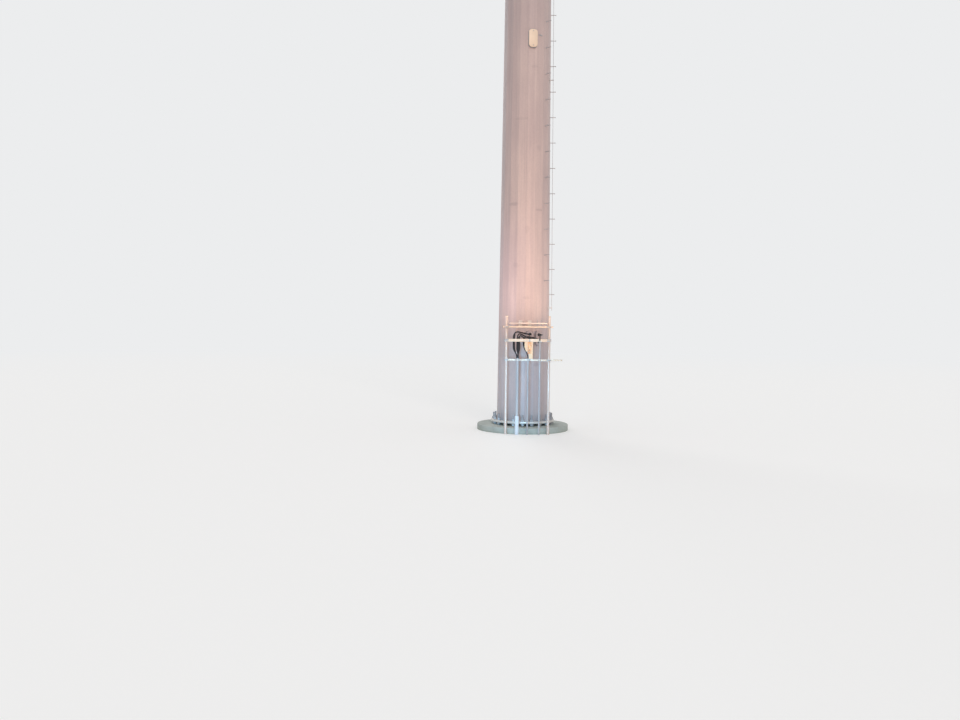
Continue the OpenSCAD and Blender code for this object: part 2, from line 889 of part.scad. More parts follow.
// Routes of the cables, from inside a riser's top, past the cable bar, to a boot on an entry port.
// The heights are above or below the entry ports' centres.
thick_route_1 = [
    [-87, -708, -330], [-87, -708, -274], [-89, -708, -252], [-95, -707, -230], [-106, -704, -205],
    [-118, -699, -180], [-127, -691, -152], [-131, -681, -122], [-132, -670, -92], [-132, -663, -64],
    [-132, -662, -36], [-132, -662, -8], [-131, -657, 22], [-127, -648, 49], [-118, -632, 70],
    [-103, -612, 82], [-82, -589, 86], [-57, -566, 83], [-28, -543, 76], [3, -522, 69],
    [35, -505, 63], [66, -490, 58], [91, -473, 56], [103, -451, 55], [99, -428.7, 55.4],
    [90.5, -391.9, 55.4]
];
thick_route_2 = [
    [-69, -708, -330], [-69, -708, -274], [-70, -708, -246], [-75, -706, -212], [-80, -700, -176],
    [-82, -690, -142], [-82, -678, -110], [-82, -667, -80], [-82, -662, -54], [-82, -662, -24],
    [-82, -661, 2], [-79, -654, 28], [-72, -640, 47], [-60, -619, 57], [-43, -596, 57],
    [-22, -573, 48], [3, -550, 35], [31, -526, 20], [59, -504, 8], [84, -481, 2],
    [100, -456, 0.4], [99, -428.7, 0.4], [90.5, -391.9, 0.4]
];
thick_route_3 = [
    [-78, -723, -330], [-78, -723, -274], [-76, -726, -246], [-69, -724, -212], [-62, -716, -176],
    [-60, -703, -142], [-60, -688, -110], [-60, -673, -82], [-60, -663, -54], [-60, -662, -26],
    [-59, -659, 0], [-55, -649, 21], [-47, -632, 32], [-34, -610, 31], [-17, -587, 20],
    [4, -564, 4], [27, -541, -15], [51, -519, -33], [74, -498, -46], [92, -476, -52],
    [101, -453, -54], [99, -428.7, -54.6], [90.5, -391.9, -54.6]
];
thin_route_1 = [
    [65, -703.6, -330], [65, -703.6, -274], [63, -703.6, -252], [56, -702, -228], [44, -698, -197],
    [30, -690, -166], [16, -680, -134], [6, -670, -102], [2, -664, -74], [1, -662.6, -50],
    [1, -662, -26], [4, -661, -8], [14, -658, 8], [32, -654, 16], [56, -650, 19], [84, -646, 18],
    [112, -641, 15], [140, -634, 9], [167, -623, 1], [191, -608, -9], [213, -588, -19],
    [232, -563, -28], [247, -535, -36], [258, -505, -42], [265, -473, -47], [265, -441, -49],
    [259, -411, -50], [250, -388, -49.6], [239.6, -369, -49.6], [219.1, -337.3, -49.6]
];
thin_route_2 = [
    [224, -703.6, -100], [224, -703.6, -38], [224, -703, -14], [225, -698, 8], [226, -686, 26],
    [228, -668, 36], [231, -645, 39], [235, -618, 40], [240, -588, 41], [246, -557, 43],
    [252, -525, 45], [257, -493, 47], [260, -462, 49], [260, -433, 50], [256, -408, 50.4],
    [249, -386, 50.4], [239.6, -369, 50.4], [219.1, -337.3, 50.4]
];

module riser_cables() {
    color(BLACK)
        translate([0, 0, entry_z]) {
            for (route = [thick_route_1, thick_route_2, thick_route_3])
                tube(route, thick_cable_d);
            for (route = [thin_route_1, thin_route_2])
                tube(route, thin_cable_d);
        }
}

// An upright copper bar on insulators, held by a strip between the two lower struts
ground_bar_top = cable_bar_z - ground_bar_drop;
strip_t = 3;
strip_y = strut_y - seat - strip_t;

module ground_bar_brackets() {
    strip_w = 18;
    insulator_inset = 35;
    insulator_d = 14;
    z0 = riser_strut_z - strut_w / 2;
    color(GALV_DARK) {
        translate([ground_bar_x - strip_w / 2, strip_y, z0])
            cube([strip_w, strip_t, cable_bar_z + strut_w - z0]);
        for (drop = [insulator_inset, ground_bar_l - insulator_inset])
            translate([ground_bar_x, strip_y + cut, ground_bar_top - drop])
                rotate([90, 0, 0])
                    cylinder(d = insulator_d, h = insulator_l + cut, $fn = 24);
    }
}

module ground_bar() {
    x0 = ground_bar_x - ground_bar_w / 2;
    color(COPPER)
        translate([x0, strip_y - insulator_l - ground_bar_t, ground_bar_top - ground_bar_l])
            cube([ground_bar_w, ground_bar_t, ground_bar_l]);
}

// Platform: the face pipes make a triangle, whose faces look along these angles
face_angles = [0, 120, 240];
face_r = face_l / (2 * sqrt(3));
corner_r = 2 * face_r;
corner_plate_r = [corner_r - corner_inner, corner_r - corner_outer];
collar_in_r = flat_r(collar_z) / cos(FLAT_STEP / 2) + seat;
collar_out_r = collar_in_r + collar_t;
mast_r = face_r + face_pipe_d / 2 + seat + mast_d / 2;
mast_x = face_l / 2 - mast_corner;
mast_xs = [-mast_x, -face_l / 6, face_l / 6, mast_x];
mast_z0 = platform_z - mast_drop;
face_pipe_l = 2 * (mast_x + pipe_overhang);

// A pipe along X, with its middle at the origin
module level_pipe(d, wall) {
    translate([-face_pipe_l / 2, 0, 0])
        rotate([0, 90, 0])
            pipe(d, wall, face_pipe_l);
}

// Three parts clamp the shaft, with an ear at each end of a part
module platform_collar() {
    slit = 6;
    ear_w = 26;
    color(GALV_DARK)
        translate([0, 0, collar_z])
            linear_extrude(height = collar_h)
                difference() {
                    union() {
                        circle(r = collar_out_r);
                        for (a = face_angles)
                            rotate(a)
                                translate([-ear_w / 2, -collar_out_r - ear_l])
                                    square([ear_w, ear_l + collar_t]);
                    }
                    circle(r = collar_in_r);
                    for (a = face_angles)
                        rotate(a)
                            translate([-slit / 2, -collar_out_r - ear_l - cut])
                                square([slit, ear_l + 2 * collar_t]);
                }
}

// Arms of square tube reach from the collar to the platform's corners
module platform_arms() {
    r0 = collar_out_r + seat;
    l = corner_plate_r[1] - r0;
    inner = arm_w - 2 * arm_wall;
    color(GALV)
        for (a = face_angles)
            rotate([0, 0, a + 60])
                translate([0, -r0, arm_z])
                    rotate([90, 0, 0])
                        linear_extrude(height = l)
                            difference() {
                                square(arm_w, center = true);
                                square(inner, center = true);
                            }
}

// Face pipes, and at the end of each arm a plate that carries two of them
module platform_frame() {
    lip = 8;
    halves = [for (r = corner_plate_r) (corner_r - r) * tan(30) + face_pipe_d / 2 + lip];
    r0 = corner_plate_r[0];
    r1 = corner_plate_r[1];
    color(GALV)
        for (a = face_angles) {
            rotate([0, 0, a])
                translate([0, -face_r, platform_z])
                    level_pipe(face_pipe_d, face_pipe_wall);
            rotate([0, 0, a + 60])
                translate([0, 0, corner_z])
                    linear_extrude(height = corner_t)
                        polygon([
                            [-halves[0], -r0], [halves[0], -r0], [halves[1], -r1], [-halves[1], -r1]
                        ]);
        }
}

// Grating panels: one behind each face pipe, with its sides on two arms
panel_gap = 3;
panel_edge = 8;

// Half of a panel's outline, drawn inward by an inset, for one side of the face's middle
function half_panel(side, inset) =
    let (gap = panel_gap + inset,
         along = [side * sin(60), -cos(60)],
         inward = [-side * cos(60), -sin(60)],
         inner_y = -collar_out_r - ear_l - gap,
         outer_y = gap + face_pipe_d / 2 - face_r,
         reach = corner_plate_r[0] - gap,
         turn = (-outer_y - reach * cos(60)) / sin(60))
    [[side * (-gap - inner_y * sin(60)) / cos(60), inner_y],
     reach * along + gap * inward,
     reach * along + turn * inward];

module panel(inset) {
    left = half_panel(-1, inset);
    right = half_panel(1, inset);
    polygon([left[0], left[1], left[2], right[2], right[1], right[0]]);
}

module platform_grating() {
    pitch = 38;
    bar = 5;
    bars = floor(face_l / 2 / pitch);
    color(GALV_DARK)
        for (a = face_angles)
            rotate([0, 0, a])
                translate([0, 0, arm_z + arm_w / 2 + seat])
                    linear_extrude(height = grating_t) {
                        difference() {
                            panel(0);
                            panel(panel_edge);
                        }
                        intersection() {
                            panel(panel_edge / 2);
                            for (i = [-bars:bars])
                                translate([i * pitch - bar / 2, -face_r])
                                    square([bar, face_r]);
                        }
                    }
}

module handrail() {
    r = mast_r - mast_d - seat;
    color(GALV)
        for (a = face_angles)
            rotate([0, 0, a])
                translate([0, -r, platform_z + rail_h])
                    level_pipe(mast_d, mast_wall);
}

module mast_pipes() {
    color(GALV)
        for (a = face_angles, x = mast_xs)
            rotate([0, 0, a])
                translate([x, -mast_r, mast_z0])
                    pipe(mast_d, mast_wall, mast_l);
}

// Panel antennas stand on the first, second and fourth mast pipe of each face
antenna_xs = [mast_xs[0], mast_xs[1], mast_xs[3]];
antenna_z0 = mast_z0 + (mast_l - antenna_h) / 2;
antenna_back = mast_r + mast_d / 2 + antenna_gap;

module antenna_outline(inset) {
    x = antenna_w / 2 - antenna_r;
    y = antenna_t / 2 - antenna_r;
    square([antenna_w - 2 * inset, 2 * y], center = true);
    square([2 * x, antenna_t - 2 * inset], center = true);
    for (side = [-1, 1], end = [-1, 1])
        translate([side * x, end * y])
            circle(r = antenna_r - inset);
}

// The shell between two end caps, with four cable sockets below
module antenna() {
    cap = 14;
    step = 2;
    socket_d = 12;
    socket_l = 16;
    socket_pitch = 26;
    linear_extrude(height = antenna_h)
        antenna_outline(step);
    translate([0, 0, cap])
        linear_extrude(height = antenna_h - 2 * cap)
            antenna_outline(0);
    for (i = [-1.5:1.5])
        translate([i * socket_pitch, 0, -socket_l])
            cylinder(d = socket_d, h = socket_l + step, $fn = 24);
}

module antennas(angle) {
    color(RADOME)
        for (x = antenna_xs)
            rotate([0, 0, angle])
                translate([x, -antenna_back - antenna_t / 2, antenna_z0])
                    antenna();
}

// Each bracket has a front part, from the mast pipe to the antenna, and a clamp behind the pipe
module antenna_brackets() {
    plate_w = 60;
    plate_t = 8;
    web_w = 20;
    clamp_w = 46;
    clamp_t = 7;
    mid_gap = 4;
    front_y = -antenna_back + seat;
    clamp_reach = mast_d / 2 + seat + clamp_t;
    color(GALV_DARK)
        for (a = face_angles, x = antenna_xs, z = bracket_zs)
            rotate([0, 0, a])
                translate([x, 0, z])
                    linear_extrude(height = bracket_h)
                        difference() {
                            union() {
                                translate([-plate_w / 2, front_y])
                                    square([plate_w, plate_t]);
                                translate([-web_w / 2, front_y])
                                    square([web_w, -mast_r - mast_d / 2 - front_y]);
                                for (y = [-mast_r - clamp_reach, -mast_r + mid_gap / 2])
                                    translate([-clamp_w / 2, y])
                                        square([clamp_w, clamp_reach - mid_gap / 2]);
                            }
                            translate([0, -mast_r])
                                circle(r = mast_d / 2 + seat);
                        }
}

// Two radio units hang on the inner side of a mast pipe of each face, below and above the handrail
radio_above = 20;
radio_z0 = platform_z + radio_lift;
radio_zs = [radio_z0, platform_z + rail_h + mast_d / 2 + radio_above];
radio_r = mast_r - mast_d / 2 - seat;
rail_t = 14;
rail_w = 50;

// The antenna brackets' lower ends: under the face pipes, and over the upper radio units
bracket_zs = [
    platform_z - face_pipe_d / 2 - bracket_under - bracket_h,
    radio_zs[1] + radio_h + bracket_over
];

module radio() {
    fin_t = 3;
    fins = 9;
    edge = 10;
    body_t = radio_t / 2;
    fin_step = (radio_w - fin_t) / (fins - 1);
    translate([-rail_w / 2, 0, edge])
        cube([rail_w, rail_t + cut, radio_h - 2 * edge]);
    translate([-radio_w / 2, rail_t, 0])
        cube([radio_w, body_t, radio_h]);
    for (i = [0:fins - 1])
        translate([-radio_w / 2 + i * fin_step, rail_t + body_t - cut, edge])
            cube([fin_t, radio_t - body_t + cut, radio_h - 2 * edge]);
}

module radios() {
    color(RADOME)
        for (a = face_angles, z = radio_zs)
            rotate([0, 0, a])
                translate([mast_xs[1], -radio_r, z])
                    radio();
}

// The surge box hangs on the mast pipe that has no antenna, on a rail of its own
module surge_box() {
    r = surge_d / 2;
    dome = 30;
    bevel = 22;
    edge = 40;
    color(RADOME)
        translate([mast_xs[2], -radio_r, radio_z0]) {
            translate([-rail_w / 2, 0, edge])
                cube([rail_w, rail_t + r / 2, surge_h - 2 * edge]);
            translate([0, rail_t + r, 0])
                rotate_extrude()
                    polygon([
                        [0, 0], [r, 0], [r, surge_h - dome], [r - bevel, surge_h], [0, surge_h]
                    ]);
        }
}

concrete_pier();
base_plate();
anchor_bolts();
levelling_nuts();
anchor_nuts();
shaft_section(0);  // shaft_section_1
shaft_section(1);  // shaft_section_2
shaft_section(2);  // shaft_section_3
shaft_section(3);  // shaft_section_4
jacking_lugs();
port_rims();
port_covers();
entry_port_rims();
entry_port_boots();
step_bolts(0);  // step_bolts_1
step_bolts(1);  // step_bolts_2
step_bolts(2);  // step_bolts_3
step_bolts(3);  // step_bolts_4
safety_cable();
cable_guides();
top_cap();
lightning_rod();
bridge_posts();
post_caps();
cross_struts();
bridge_deck();
pole_brackets();
hanger_rods();
conduit_risers();
ground_sleeve();
riser_cables();
ground_bar_brackets();
ground_bar();
platform_collar();
platform_arms();
platform_frame();
platform_grating();
handrail();
mast_pipes();
antennas(face_angles[0]);  // antennas_a
antennas(face_angles[1]);  // antennas_b
antennas(face_angles[2]);  // antennas_c
antenna_brackets();
radios();
surge_box();
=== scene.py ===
# Looks for the monopole cell tower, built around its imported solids.
# Shapes are written in millimetres, as in the part's source, and become metres when a piece is made.
from math import atan, atan2, ceil, copysign, cos, degrees, hypot, pi, radians, sin, sqrt

import bmesh
import bpy
from mathutils import Matrix, Vector


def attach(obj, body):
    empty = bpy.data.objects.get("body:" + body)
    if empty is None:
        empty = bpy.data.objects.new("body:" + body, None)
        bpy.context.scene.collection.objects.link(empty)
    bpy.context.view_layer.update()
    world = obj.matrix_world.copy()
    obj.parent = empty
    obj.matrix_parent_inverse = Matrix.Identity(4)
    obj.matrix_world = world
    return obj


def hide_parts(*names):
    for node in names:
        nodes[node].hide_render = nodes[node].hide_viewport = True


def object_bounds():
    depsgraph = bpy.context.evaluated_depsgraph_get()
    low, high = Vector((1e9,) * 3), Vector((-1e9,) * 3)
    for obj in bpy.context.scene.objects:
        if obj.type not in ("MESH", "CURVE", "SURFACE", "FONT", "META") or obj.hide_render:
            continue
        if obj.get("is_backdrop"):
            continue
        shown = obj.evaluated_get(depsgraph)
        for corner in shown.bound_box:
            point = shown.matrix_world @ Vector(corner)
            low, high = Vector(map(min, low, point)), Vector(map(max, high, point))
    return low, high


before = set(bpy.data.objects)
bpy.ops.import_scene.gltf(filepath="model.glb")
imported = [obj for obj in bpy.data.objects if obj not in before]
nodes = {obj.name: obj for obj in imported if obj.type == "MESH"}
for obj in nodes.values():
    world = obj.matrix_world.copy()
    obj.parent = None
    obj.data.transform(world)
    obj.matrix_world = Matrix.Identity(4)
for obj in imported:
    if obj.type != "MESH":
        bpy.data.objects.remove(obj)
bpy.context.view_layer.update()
scene = bpy.context.scene
MM = 0.001

# Shapes: each builder gives a list of points and a list of faces


def skin(rings, closed=False):
    """Walls between rings of points, with flat ends, or round to the first ring again."""
    n = len(rings[0])
    count = len(rings)
    faces = []
    for k in range(count if closed else count - 1):
        a = k * n
        b = (k + 1) % count * n
        for i in range(n):
            j = (i + 1) % n
            faces.append((a + i, a + j, b + j, b + i))
    if not closed:
        faces.append(tuple(range(n - 1, -1, -1)))
        faces.append(tuple(range((count - 1) * n, count * n)))
    return [p for ring in rings for p in ring], faces


def circle(r, sides, z=0.0, start=0.0):
    turns = [start + 2 * pi * i / sides for i in range(sides)]
    return [(r * cos(a), r * sin(a), z) for a in turns]


def lathe(profile, sides=24):
    """A profile of (radius, height) turned about the vertical axis."""
    return skin([circle(r, sides, z) for r, z in profile])


def hoop(profile, sides=48):
    """A closed profile of (radius, height) turned into a ring."""
    turns = [2 * pi * i / sides for i in range(sides)]
    rings = [[(r * cos(a), r * sin(a), z) for r, z in profile] for a in turns]
    return skin(rings, closed=True)


def prism(outline, z0, z1):
    return skin([[(x, y, z) for x, y in outline] for z in (z0, z1)])


def rounded(w, h, r, steps=4):
    """The outline of a rectangle with round corners."""
    points = []
    for k, (sx, sy) in enumerate(((1, 1), (-1, 1), (-1, -1), (1, -1))):
        for j in range(steps + 1):
            a = radians(90 * (k + j / steps))
            points.append((sx * (w / 2 - r) + r * cos(a), sy * (h / 2 - r) + r * sin(a)))
    return points


def slab(w, h, r, t, bevel=0.6, steps=4):
    """A plate with round corners and softened edges, from z = 0 up."""
    rings = []
    for inset, z in ((bevel, 0), (0, bevel), (0, t - bevel), (bevel, t)):
        outline = rounded(w - 2 * inset, h - 2 * inset, max(r - inset, 0.1), steps)
        rings.append([(x, y, z) for x, y in outline])
    return skin(rings)


def box(w, d, h, bevel=0.5):
    """A block on its centre with softened edges."""
    points, faces = slab(w, d, bevel * 1.5, h, bevel, 1)
    return [(x, y, z - h / 2) for x, y, z in points], faces


def sweep(path, section, closed=False):
    """A section carried along a path without twist. It may be a function of the point's number."""
    path = [Vector(p) for p in path]
    n = len(path)
    rings = []
    side = None
    for i, p in enumerate(path):
        if closed:
            t = path[(i + 1) % n] - path[i - 1]
        else:
            t = path[min(i + 1, n - 1)] - path[max(i - 1, 0)]
        t.normalize()
        if side is None:
            side = t.cross(Vector((0, 1, 0)) if abs(t.z) > 0.9 else Vector((0, 0, 1)))
        side = (side - side.dot(t) * t).normalized()
        up = t.cross(side)
        outline = section(i) if callable(section) else section
        rings.append([p + a * side + b * up for a, b in outline])
    return skin(rings, closed)


def disc(r, sides):
    return [(x, y) for x, y, z in circle(r, sides)]


def tube(path, r, sides):
    return sweep(path, disc(r, sides))


def threaded(d, depth, pitch, z0, z1):
    """The profile of a threaded length, as close rings."""
    turns = max(1, round((z1 - z0) / pitch))
    step = (z1 - z0) / turns
    profile = []
    for i in range(turns):
        profile += [(d / 2 - depth, z0 + i * step), (d / 2, z0 + (i + 0.5) * step)]
    return profile + [(d / 2 - depth, z1)]


def nut(af, h, turn=0.0):
    """A hexagon nut with its corners turned off, from z = 0 up."""
    sides = 24
    sixth = pi / 3
    flat = af / 2 * 0.96
    low = []
    high = []
    for i in range(sides):
        a = 2 * pi * i / sides
        r = af / 2 / cos((a + sixth / 2) % sixth - sixth / 2)
        drop = (r - flat) * 0.58
        x = r * cos(a + turn)
        y = r * sin(a + turn)
        low.append((x, y, drop))
        high.append((x, y, h - drop))
    return skin([circle(flat, sides, 0, turn), low, high, circle(flat, sides, h, turn)])


def washer(r, t, bore=0.0):
    return hoop([(bore, 0), (r - 0.3, 0), (r, 0.4), (r, t - 0.4), (r - 0.3, t), (bore, t)], 24)


def turned(axis, angle):
    return Matrix.Rotation(radians(angle), 4, axis)


def moved(x, y, z):
    return Matrix.Translation((x, y, z))


def facing(x, y, z, way=-1):
    """A place whose Z points to the front, or with way = 1 to the back."""
    return moved(x, y, z) @ turned("X", -90 * way)


class Form:
    """A mesh in the making: parts are added, each put in place by a matrix."""

    def __init__(self):
        self.points = []
        self.faces = []

    def add(self, part, place=Matrix()):
        points, faces = part
        first = len(self.points)
        self.points += [place @ Vector(p) for p in points]
        self.faces += [[first + i for i in face] for face in faces]

    def bolt(self, place, af, head, tip):
        """A hexagon head or nut on a washer, with a bolt end that shows above it."""
        under = 1.6
        self.add(washer(af * 0.68, under), place)
        self.add(nut(af, head), place @ moved(0, 0, under))
        if tip:
            thread = threaded(af * 0.6, 0.4, 1.6, 0, tip)
            self.add(lathe(thread, 12), place @ moved(0, 0, under + head - 0.2))

    def u_bolt(self, place, r, rod, leg):
        """A bent rod round a pipe of radius r, whose legs reach leg along -Y."""
        bend = r + rod / 2
        turns = [pi * i / 10 for i in range(11)]
        arc = [(bend * cos(a), bend * sin(a), 0) for a in turns]
        self.add(tube([(bend, -leg, 0), *arc, (-bend, -leg, 0)], rod / 2, 10), place)


def piece(name, form, material, replaced=(), sharp=40):
    """Makes a piece from a form, with its material, and lets it ride on the tower."""
    mesh = bpy.data.meshes.new(name)
    mesh.from_pydata([p * MM for p in form.points], [], form.faces)
    work = bmesh.new()
    work.from_mesh(mesh)
    bmesh.ops.recalc_face_normals(work, faces=work.faces)
    work.to_mesh(mesh)
    work.free()
    mesh.shade_smooth()
    mesh.set_sharp_from_angle(angle=radians(sharp))
    made = bpy.data.objects.new(name, mesh)
    scene.collection.objects.link(made)
    mesh.materials.append(material)
    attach(made, "root")
    if replaced:
        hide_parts(*replaced)


# Materials


def srgb(r, g, b):
    """A colour from its 0 to 255 values, as a linear colour."""
    values = []
    for c in (r, g, b):
        c /= 255
        values.append(c / 12.92 if c <= 0.04045 else ((c + 0.055) / 1.055) ** 2.4)
    return (*values, 1.0)


class Tree:
    """The shader nodes of a material or a world in the making."""

    def __init__(self, owner, output):
        owner.use_nodes = True
        self.tree = owner.node_tree
        self.tree.nodes.clear()
        self.out = self.node(output)

    def node(self, kind, values=None, **settings):
        """A node whose inputs each get a value or a link from another node."""
        made = self.tree.nodes.new("ShaderNode" + kind)
        for key, value in settings.items():
            setattr(made, key, value)
        for key, value in (values or {}).items():
            if isinstance(value, bpy.types.NodeSocket):
                self.tree.links.new(value, made.inputs[key])
            else:
                made.inputs[key].default_value = value
        return made

    def end(self, shader):
        self.tree.links.new(shader.outputs[0], self.out.inputs[0])

    def math(self, operation, a, b=0.0):
        return self.node("Math", {0: a, 1: b}, operation=operation).outputs[0]

    def times(self, a, b):
        return self.math("MULTIPLY", a, b)

    def plus(self, a, b):
        return self.math("ADD", a, b)

    def span(self, value, low, high, to_low=0.0, to_high=1.0, smooth=True):
        """Maps a value from one range to another, held at both ends."""
        kind = "SMOOTHSTEP" if smooth else "LINEAR"
        values = {0: value, 1: low, 2: high, 3: to_low, 4: to_high}
        return self.node("MapRange", values, interpolation_type=kind).outputs[0]

    def seen_directly(self):
        """1 for what the camera sees itself or in a gloss, else 0."""
        rays = self.node("LightPath").outputs
        seen = self.math("MAXIMUM", rays["Is Camera Ray"], rays["Is Glossy Ray"])
        return self.math("MAXIMUM", seen, rays["Is Transmission Ray"])


class Finish(Tree):
    """A material in the making, with its Principled shader."""

    def __init__(self, name, **shader):
        self.material = bpy.data.materials.new(name)
        super().__init__(self.material, "OutputMaterial")
        self.shader = self.node("BsdfPrincipled", shader)
        self.end(self.shader)
        self.place = self.node("TexCoord").outputs["Object"]

    def xyz(self):
        return self.node("SeparateXYZ", {0: self.place}).outputs

    def stretched(self, x, y, z):
        return self.node("Mapping", {"Vector": self.place, "Scale": (x, y, z)}).outputs[0]

    def noise(self, scale, detail=3.0, rough=0.55, place=None):
        values = {"Vector": place or self.place, "Scale": scale, "Detail": detail, "Roughness": rough}
        return self.node("TexNoise", values).outputs[0]

    def cells(self, scale, output="Color"):
        values = {"Vector": self.place, "Scale": scale}
        return self.node("TexVoronoi", values).outputs[output]

    def flakes(self, scale):
        """A value of its own for each cell, as in the spangle of zinc."""
        return self.node("SeparateColor", {0: self.cells(scale)}).outputs[0]

    def mix(self, factor, a, b):
        return self.node("Mix", {0: factor, 6: a, 7: b}, data_type="RGBA").outputs[2]

    def bump(self, height, distance, strength, below=None):
        values = {"Height": height, "Distance": distance, "Strength": strength}
        if below is not None:
            values["Normal"] = below
        return self.node("Bump", values).outputs[0]

    def set(self, **sockets):
        for key, value in sockets.items():
            self.tree.links.new(value, self.shader.inputs[key.replace("_", " ")])
        return self.material


def galvanised(name, pale, dark, metal, rough, spangle, stain=None, streak=0.35):
    """Zinc with its spangle, its soft clouds, the streaks that rain leaves and fine pits."""
    f = Finish(name, Metallic=metal)
    clouds = f.span(f.noise(2.3, 4.0), 0.35, 0.7)
    runs = f.span(f.noise(1.0, 5.0, 0.6, f.stretched(26, 26, 1.1)), 0.42, 0.68)
    flakes = f.flakes(spangle)
    tone = f.mix(f.times(clouds, 0.55), pale, dark)
    tone = f.mix(f.times(runs, streak), tone, dark)
    tone = f.mix(f.span(flakes, 0.0, 1.0, 0.0, 0.2, False), tone, dark)
    if stain:
        spots = f.span(f.noise(34.0, 5.0, 0.7), 0.62, 0.74)
        tone = f.mix(f.times(spots, 0.5), tone, stain)
    roughness = f.plus(f.span(flakes, 0.0, 1.0, -0.06, 0.06, False), rough)
    roughness = f.plus(roughness, f.times(clouds, 0.08))
    grain = f.bump(f.noise(420.0, 4.0, 0.65), 0.0004, 0.5)
    return f.set(Base_Color=tone, Roughness=roughness, Normal=grain)


SHAFT_PALE = srgb(207, 189, 185)
SHAFT_DARK = srgb(171, 156, 159)
# Dull scuffs on the shaft's front, the last of them a painted shadow: side position, height, half width, half
# height and depth
SCUFFS_AND_PAINTED_SHADOW = (
    (-156, 3228, 84, 34, 0.34), (196, 3148, 62, 26, 0.3), (40, 1900, 80, 34, 0.16),
    (-60, 4420, 120, 26, 0.16), (110, 5150, 70, 30, 0.16), (-120, 2360, 60, 44, 0.16),
    # The mark at 960 high is a painted shadow, not a scuff.
    (30, 2860, 44, 70, 0.14), (190, 4020, 40, 60, 0.16), (180, 960, 56, 44, 0.3),
)


def shaft_finish():
    """The shaft's zinc: rain streaks down its flats, pale clouds, dull scuffs with one painted shadow among
    them, and a greyer foot.
    """
    f = Finish("shaft_zinc", Metallic=0.12)
    clouds = f.span(f.noise(1.0, 4.0, 0.5, f.stretched(1.6, 1.6, 0.8)), 0.36, 0.66)
    runs = f.span(f.noise(1.0, 6.0, 0.62, f.stretched(17, 17, 0.45)), 0.4, 0.7)
    fine = f.span(f.noise(1.0, 4.0, 0.6, f.stretched(70, 70, 2.4)), 0.42, 0.7)
    flakes = f.flakes(105.0)
    tone = f.mix(f.times(clouds, 0.45), SHAFT_PALE, SHAFT_DARK)
    tone = f.mix(f.times(runs, 0.4), tone, SHAFT_DARK)
    tone = f.mix(f.times(fine, 0.14), tone, srgb(154, 146, 150))
    tone = f.mix(f.span(flakes, 0.0, 1.0, 0.0, 0.24, False), tone, SHAFT_DARK)
    aside, behind, up = f.xyz()
    front = f.math("LESS_THAN", behind, 0.0)
    wander = f.noise(24.0, 3.0)
    for x, z, w, h, depth in SCUFFS_AND_PAINTED_SHADOW:
        across = f.times(f.math("SUBTRACT", aside, x * MM), 1 / w / MM)
        along = f.times(f.math("SUBTRACT", up, z * MM), 1 / h / MM)
        far = f.math("SQRT", f.plus(f.times(across, across), f.times(along, along)))
        mark = f.span(f.plus(far, wander), 0.9, 1.5, depth, 0.0)
        tone = f.mix(f.times(mark, front), tone, srgb(140, 128, 134))
    # Greyer towards the foot, below about 0.85 m.
    foot_greying = f.span(f.plus(up, f.times(f.noise(9.0, 4.0), 0.5)), 0.35, 0.85, 0.35, 0.0)
    tone = f.mix(foot_greying, tone, srgb(156, 156, 156))
    roughness = f.plus(f.span(flakes, 0.0, 1.0, 0.46, 0.58, False), f.times(runs, 0.08))
    dents = f.bump(f.noise(1.0, 2.0, 0.5, f.stretched(5, 5, 1.2)), 0.006, 0.25)
    grain = f.bump(f.noise(380.0, 4.0, 0.6), 0.0004, 0.4, dents)
    return f.set(Base_Color=tone, Roughness=roughness, Normal=grain)


def concrete_finish():
    """Concrete with sand, stones and small holes, and a damp foot."""
    f = Finish("pier_concrete", Roughness=0.86)
    clouds = f.span(f.noise(3.4, 5.0, 0.6), 0.34, 0.68)
    sand = f.noise(240.0, 5.0, 0.7)
    stones = f.span(f.cells(70.0, "Distance"), 0.12, 0.42)
    tone = f.mix(clouds, srgb(190, 196, 188), srgb(166, 174, 166))
    tone = f.mix(f.span(sand, 0.35, 0.75, 0.0, 0.3), tone, srgb(140, 141, 136))
    tone = f.mix(f.times(stones, 0.12), tone, srgb(216, 214, 208))
    damp = f.span(f.plus(f.xyz()[2], f.times(f.noise(16.0, 4.0), 0.05)), 0.02, 0.06, 0.4, 0.0)
    tone = f.mix(damp, tone, srgb(138, 146, 130))
    holes = f.span(f.cells(95.0, "Distance"), 0.05, 0.16, -1.0, 0.0)
    return f.set(Base_Color=tone, Normal=f.bump(f.plus(sand, holes), 0.0016, 0.6))


def plastic_finish(name, colour, worn, rough, grain, depth=0.0002):
    """Moulded plastic or paint with faint dust, a fine grain and uneven gloss."""
    f = Finish(name)
    dust = f.span(f.noise(7.0, 5.0, 0.6), 0.4, 0.75)
    fine = f.noise(grain, 3.0, 0.6)
    tone = f.mix(f.times(dust, 0.35), colour, worn)
    tone = f.mix(f.span(fine, 0.4, 0.8, 0.0, 0.12), tone, worn)
    roughness = f.plus(f.times(dust, 0.16), rough)
    return f.set(Base_Color=tone, Roughness=roughness, Normal=f.bump(fine, depth, 0.5))


def copper_finish():
    """Copper with darker clouds and a little green."""
    f = Finish("dull_copper", Metallic=0.45)
    clouds = f.span(f.noise(26.0, 5.0, 0.6), 0.36, 0.7)
    tone = f.mix(clouds, srgb(238, 178, 128), srgb(204, 140, 98))
    tone = f.mix(f.span(f.noise(90.0, 4.0), 0.6, 0.75, 0.0, 0.3), tone, srgb(140, 132, 104))
    roughness = f.plus(f.times(clouds, 0.2), 0.4)
    return f.set(Base_Color=tone, Roughness=roughness, Normal=f.bump(f.noise(500.0), 0.0002, 0.5))


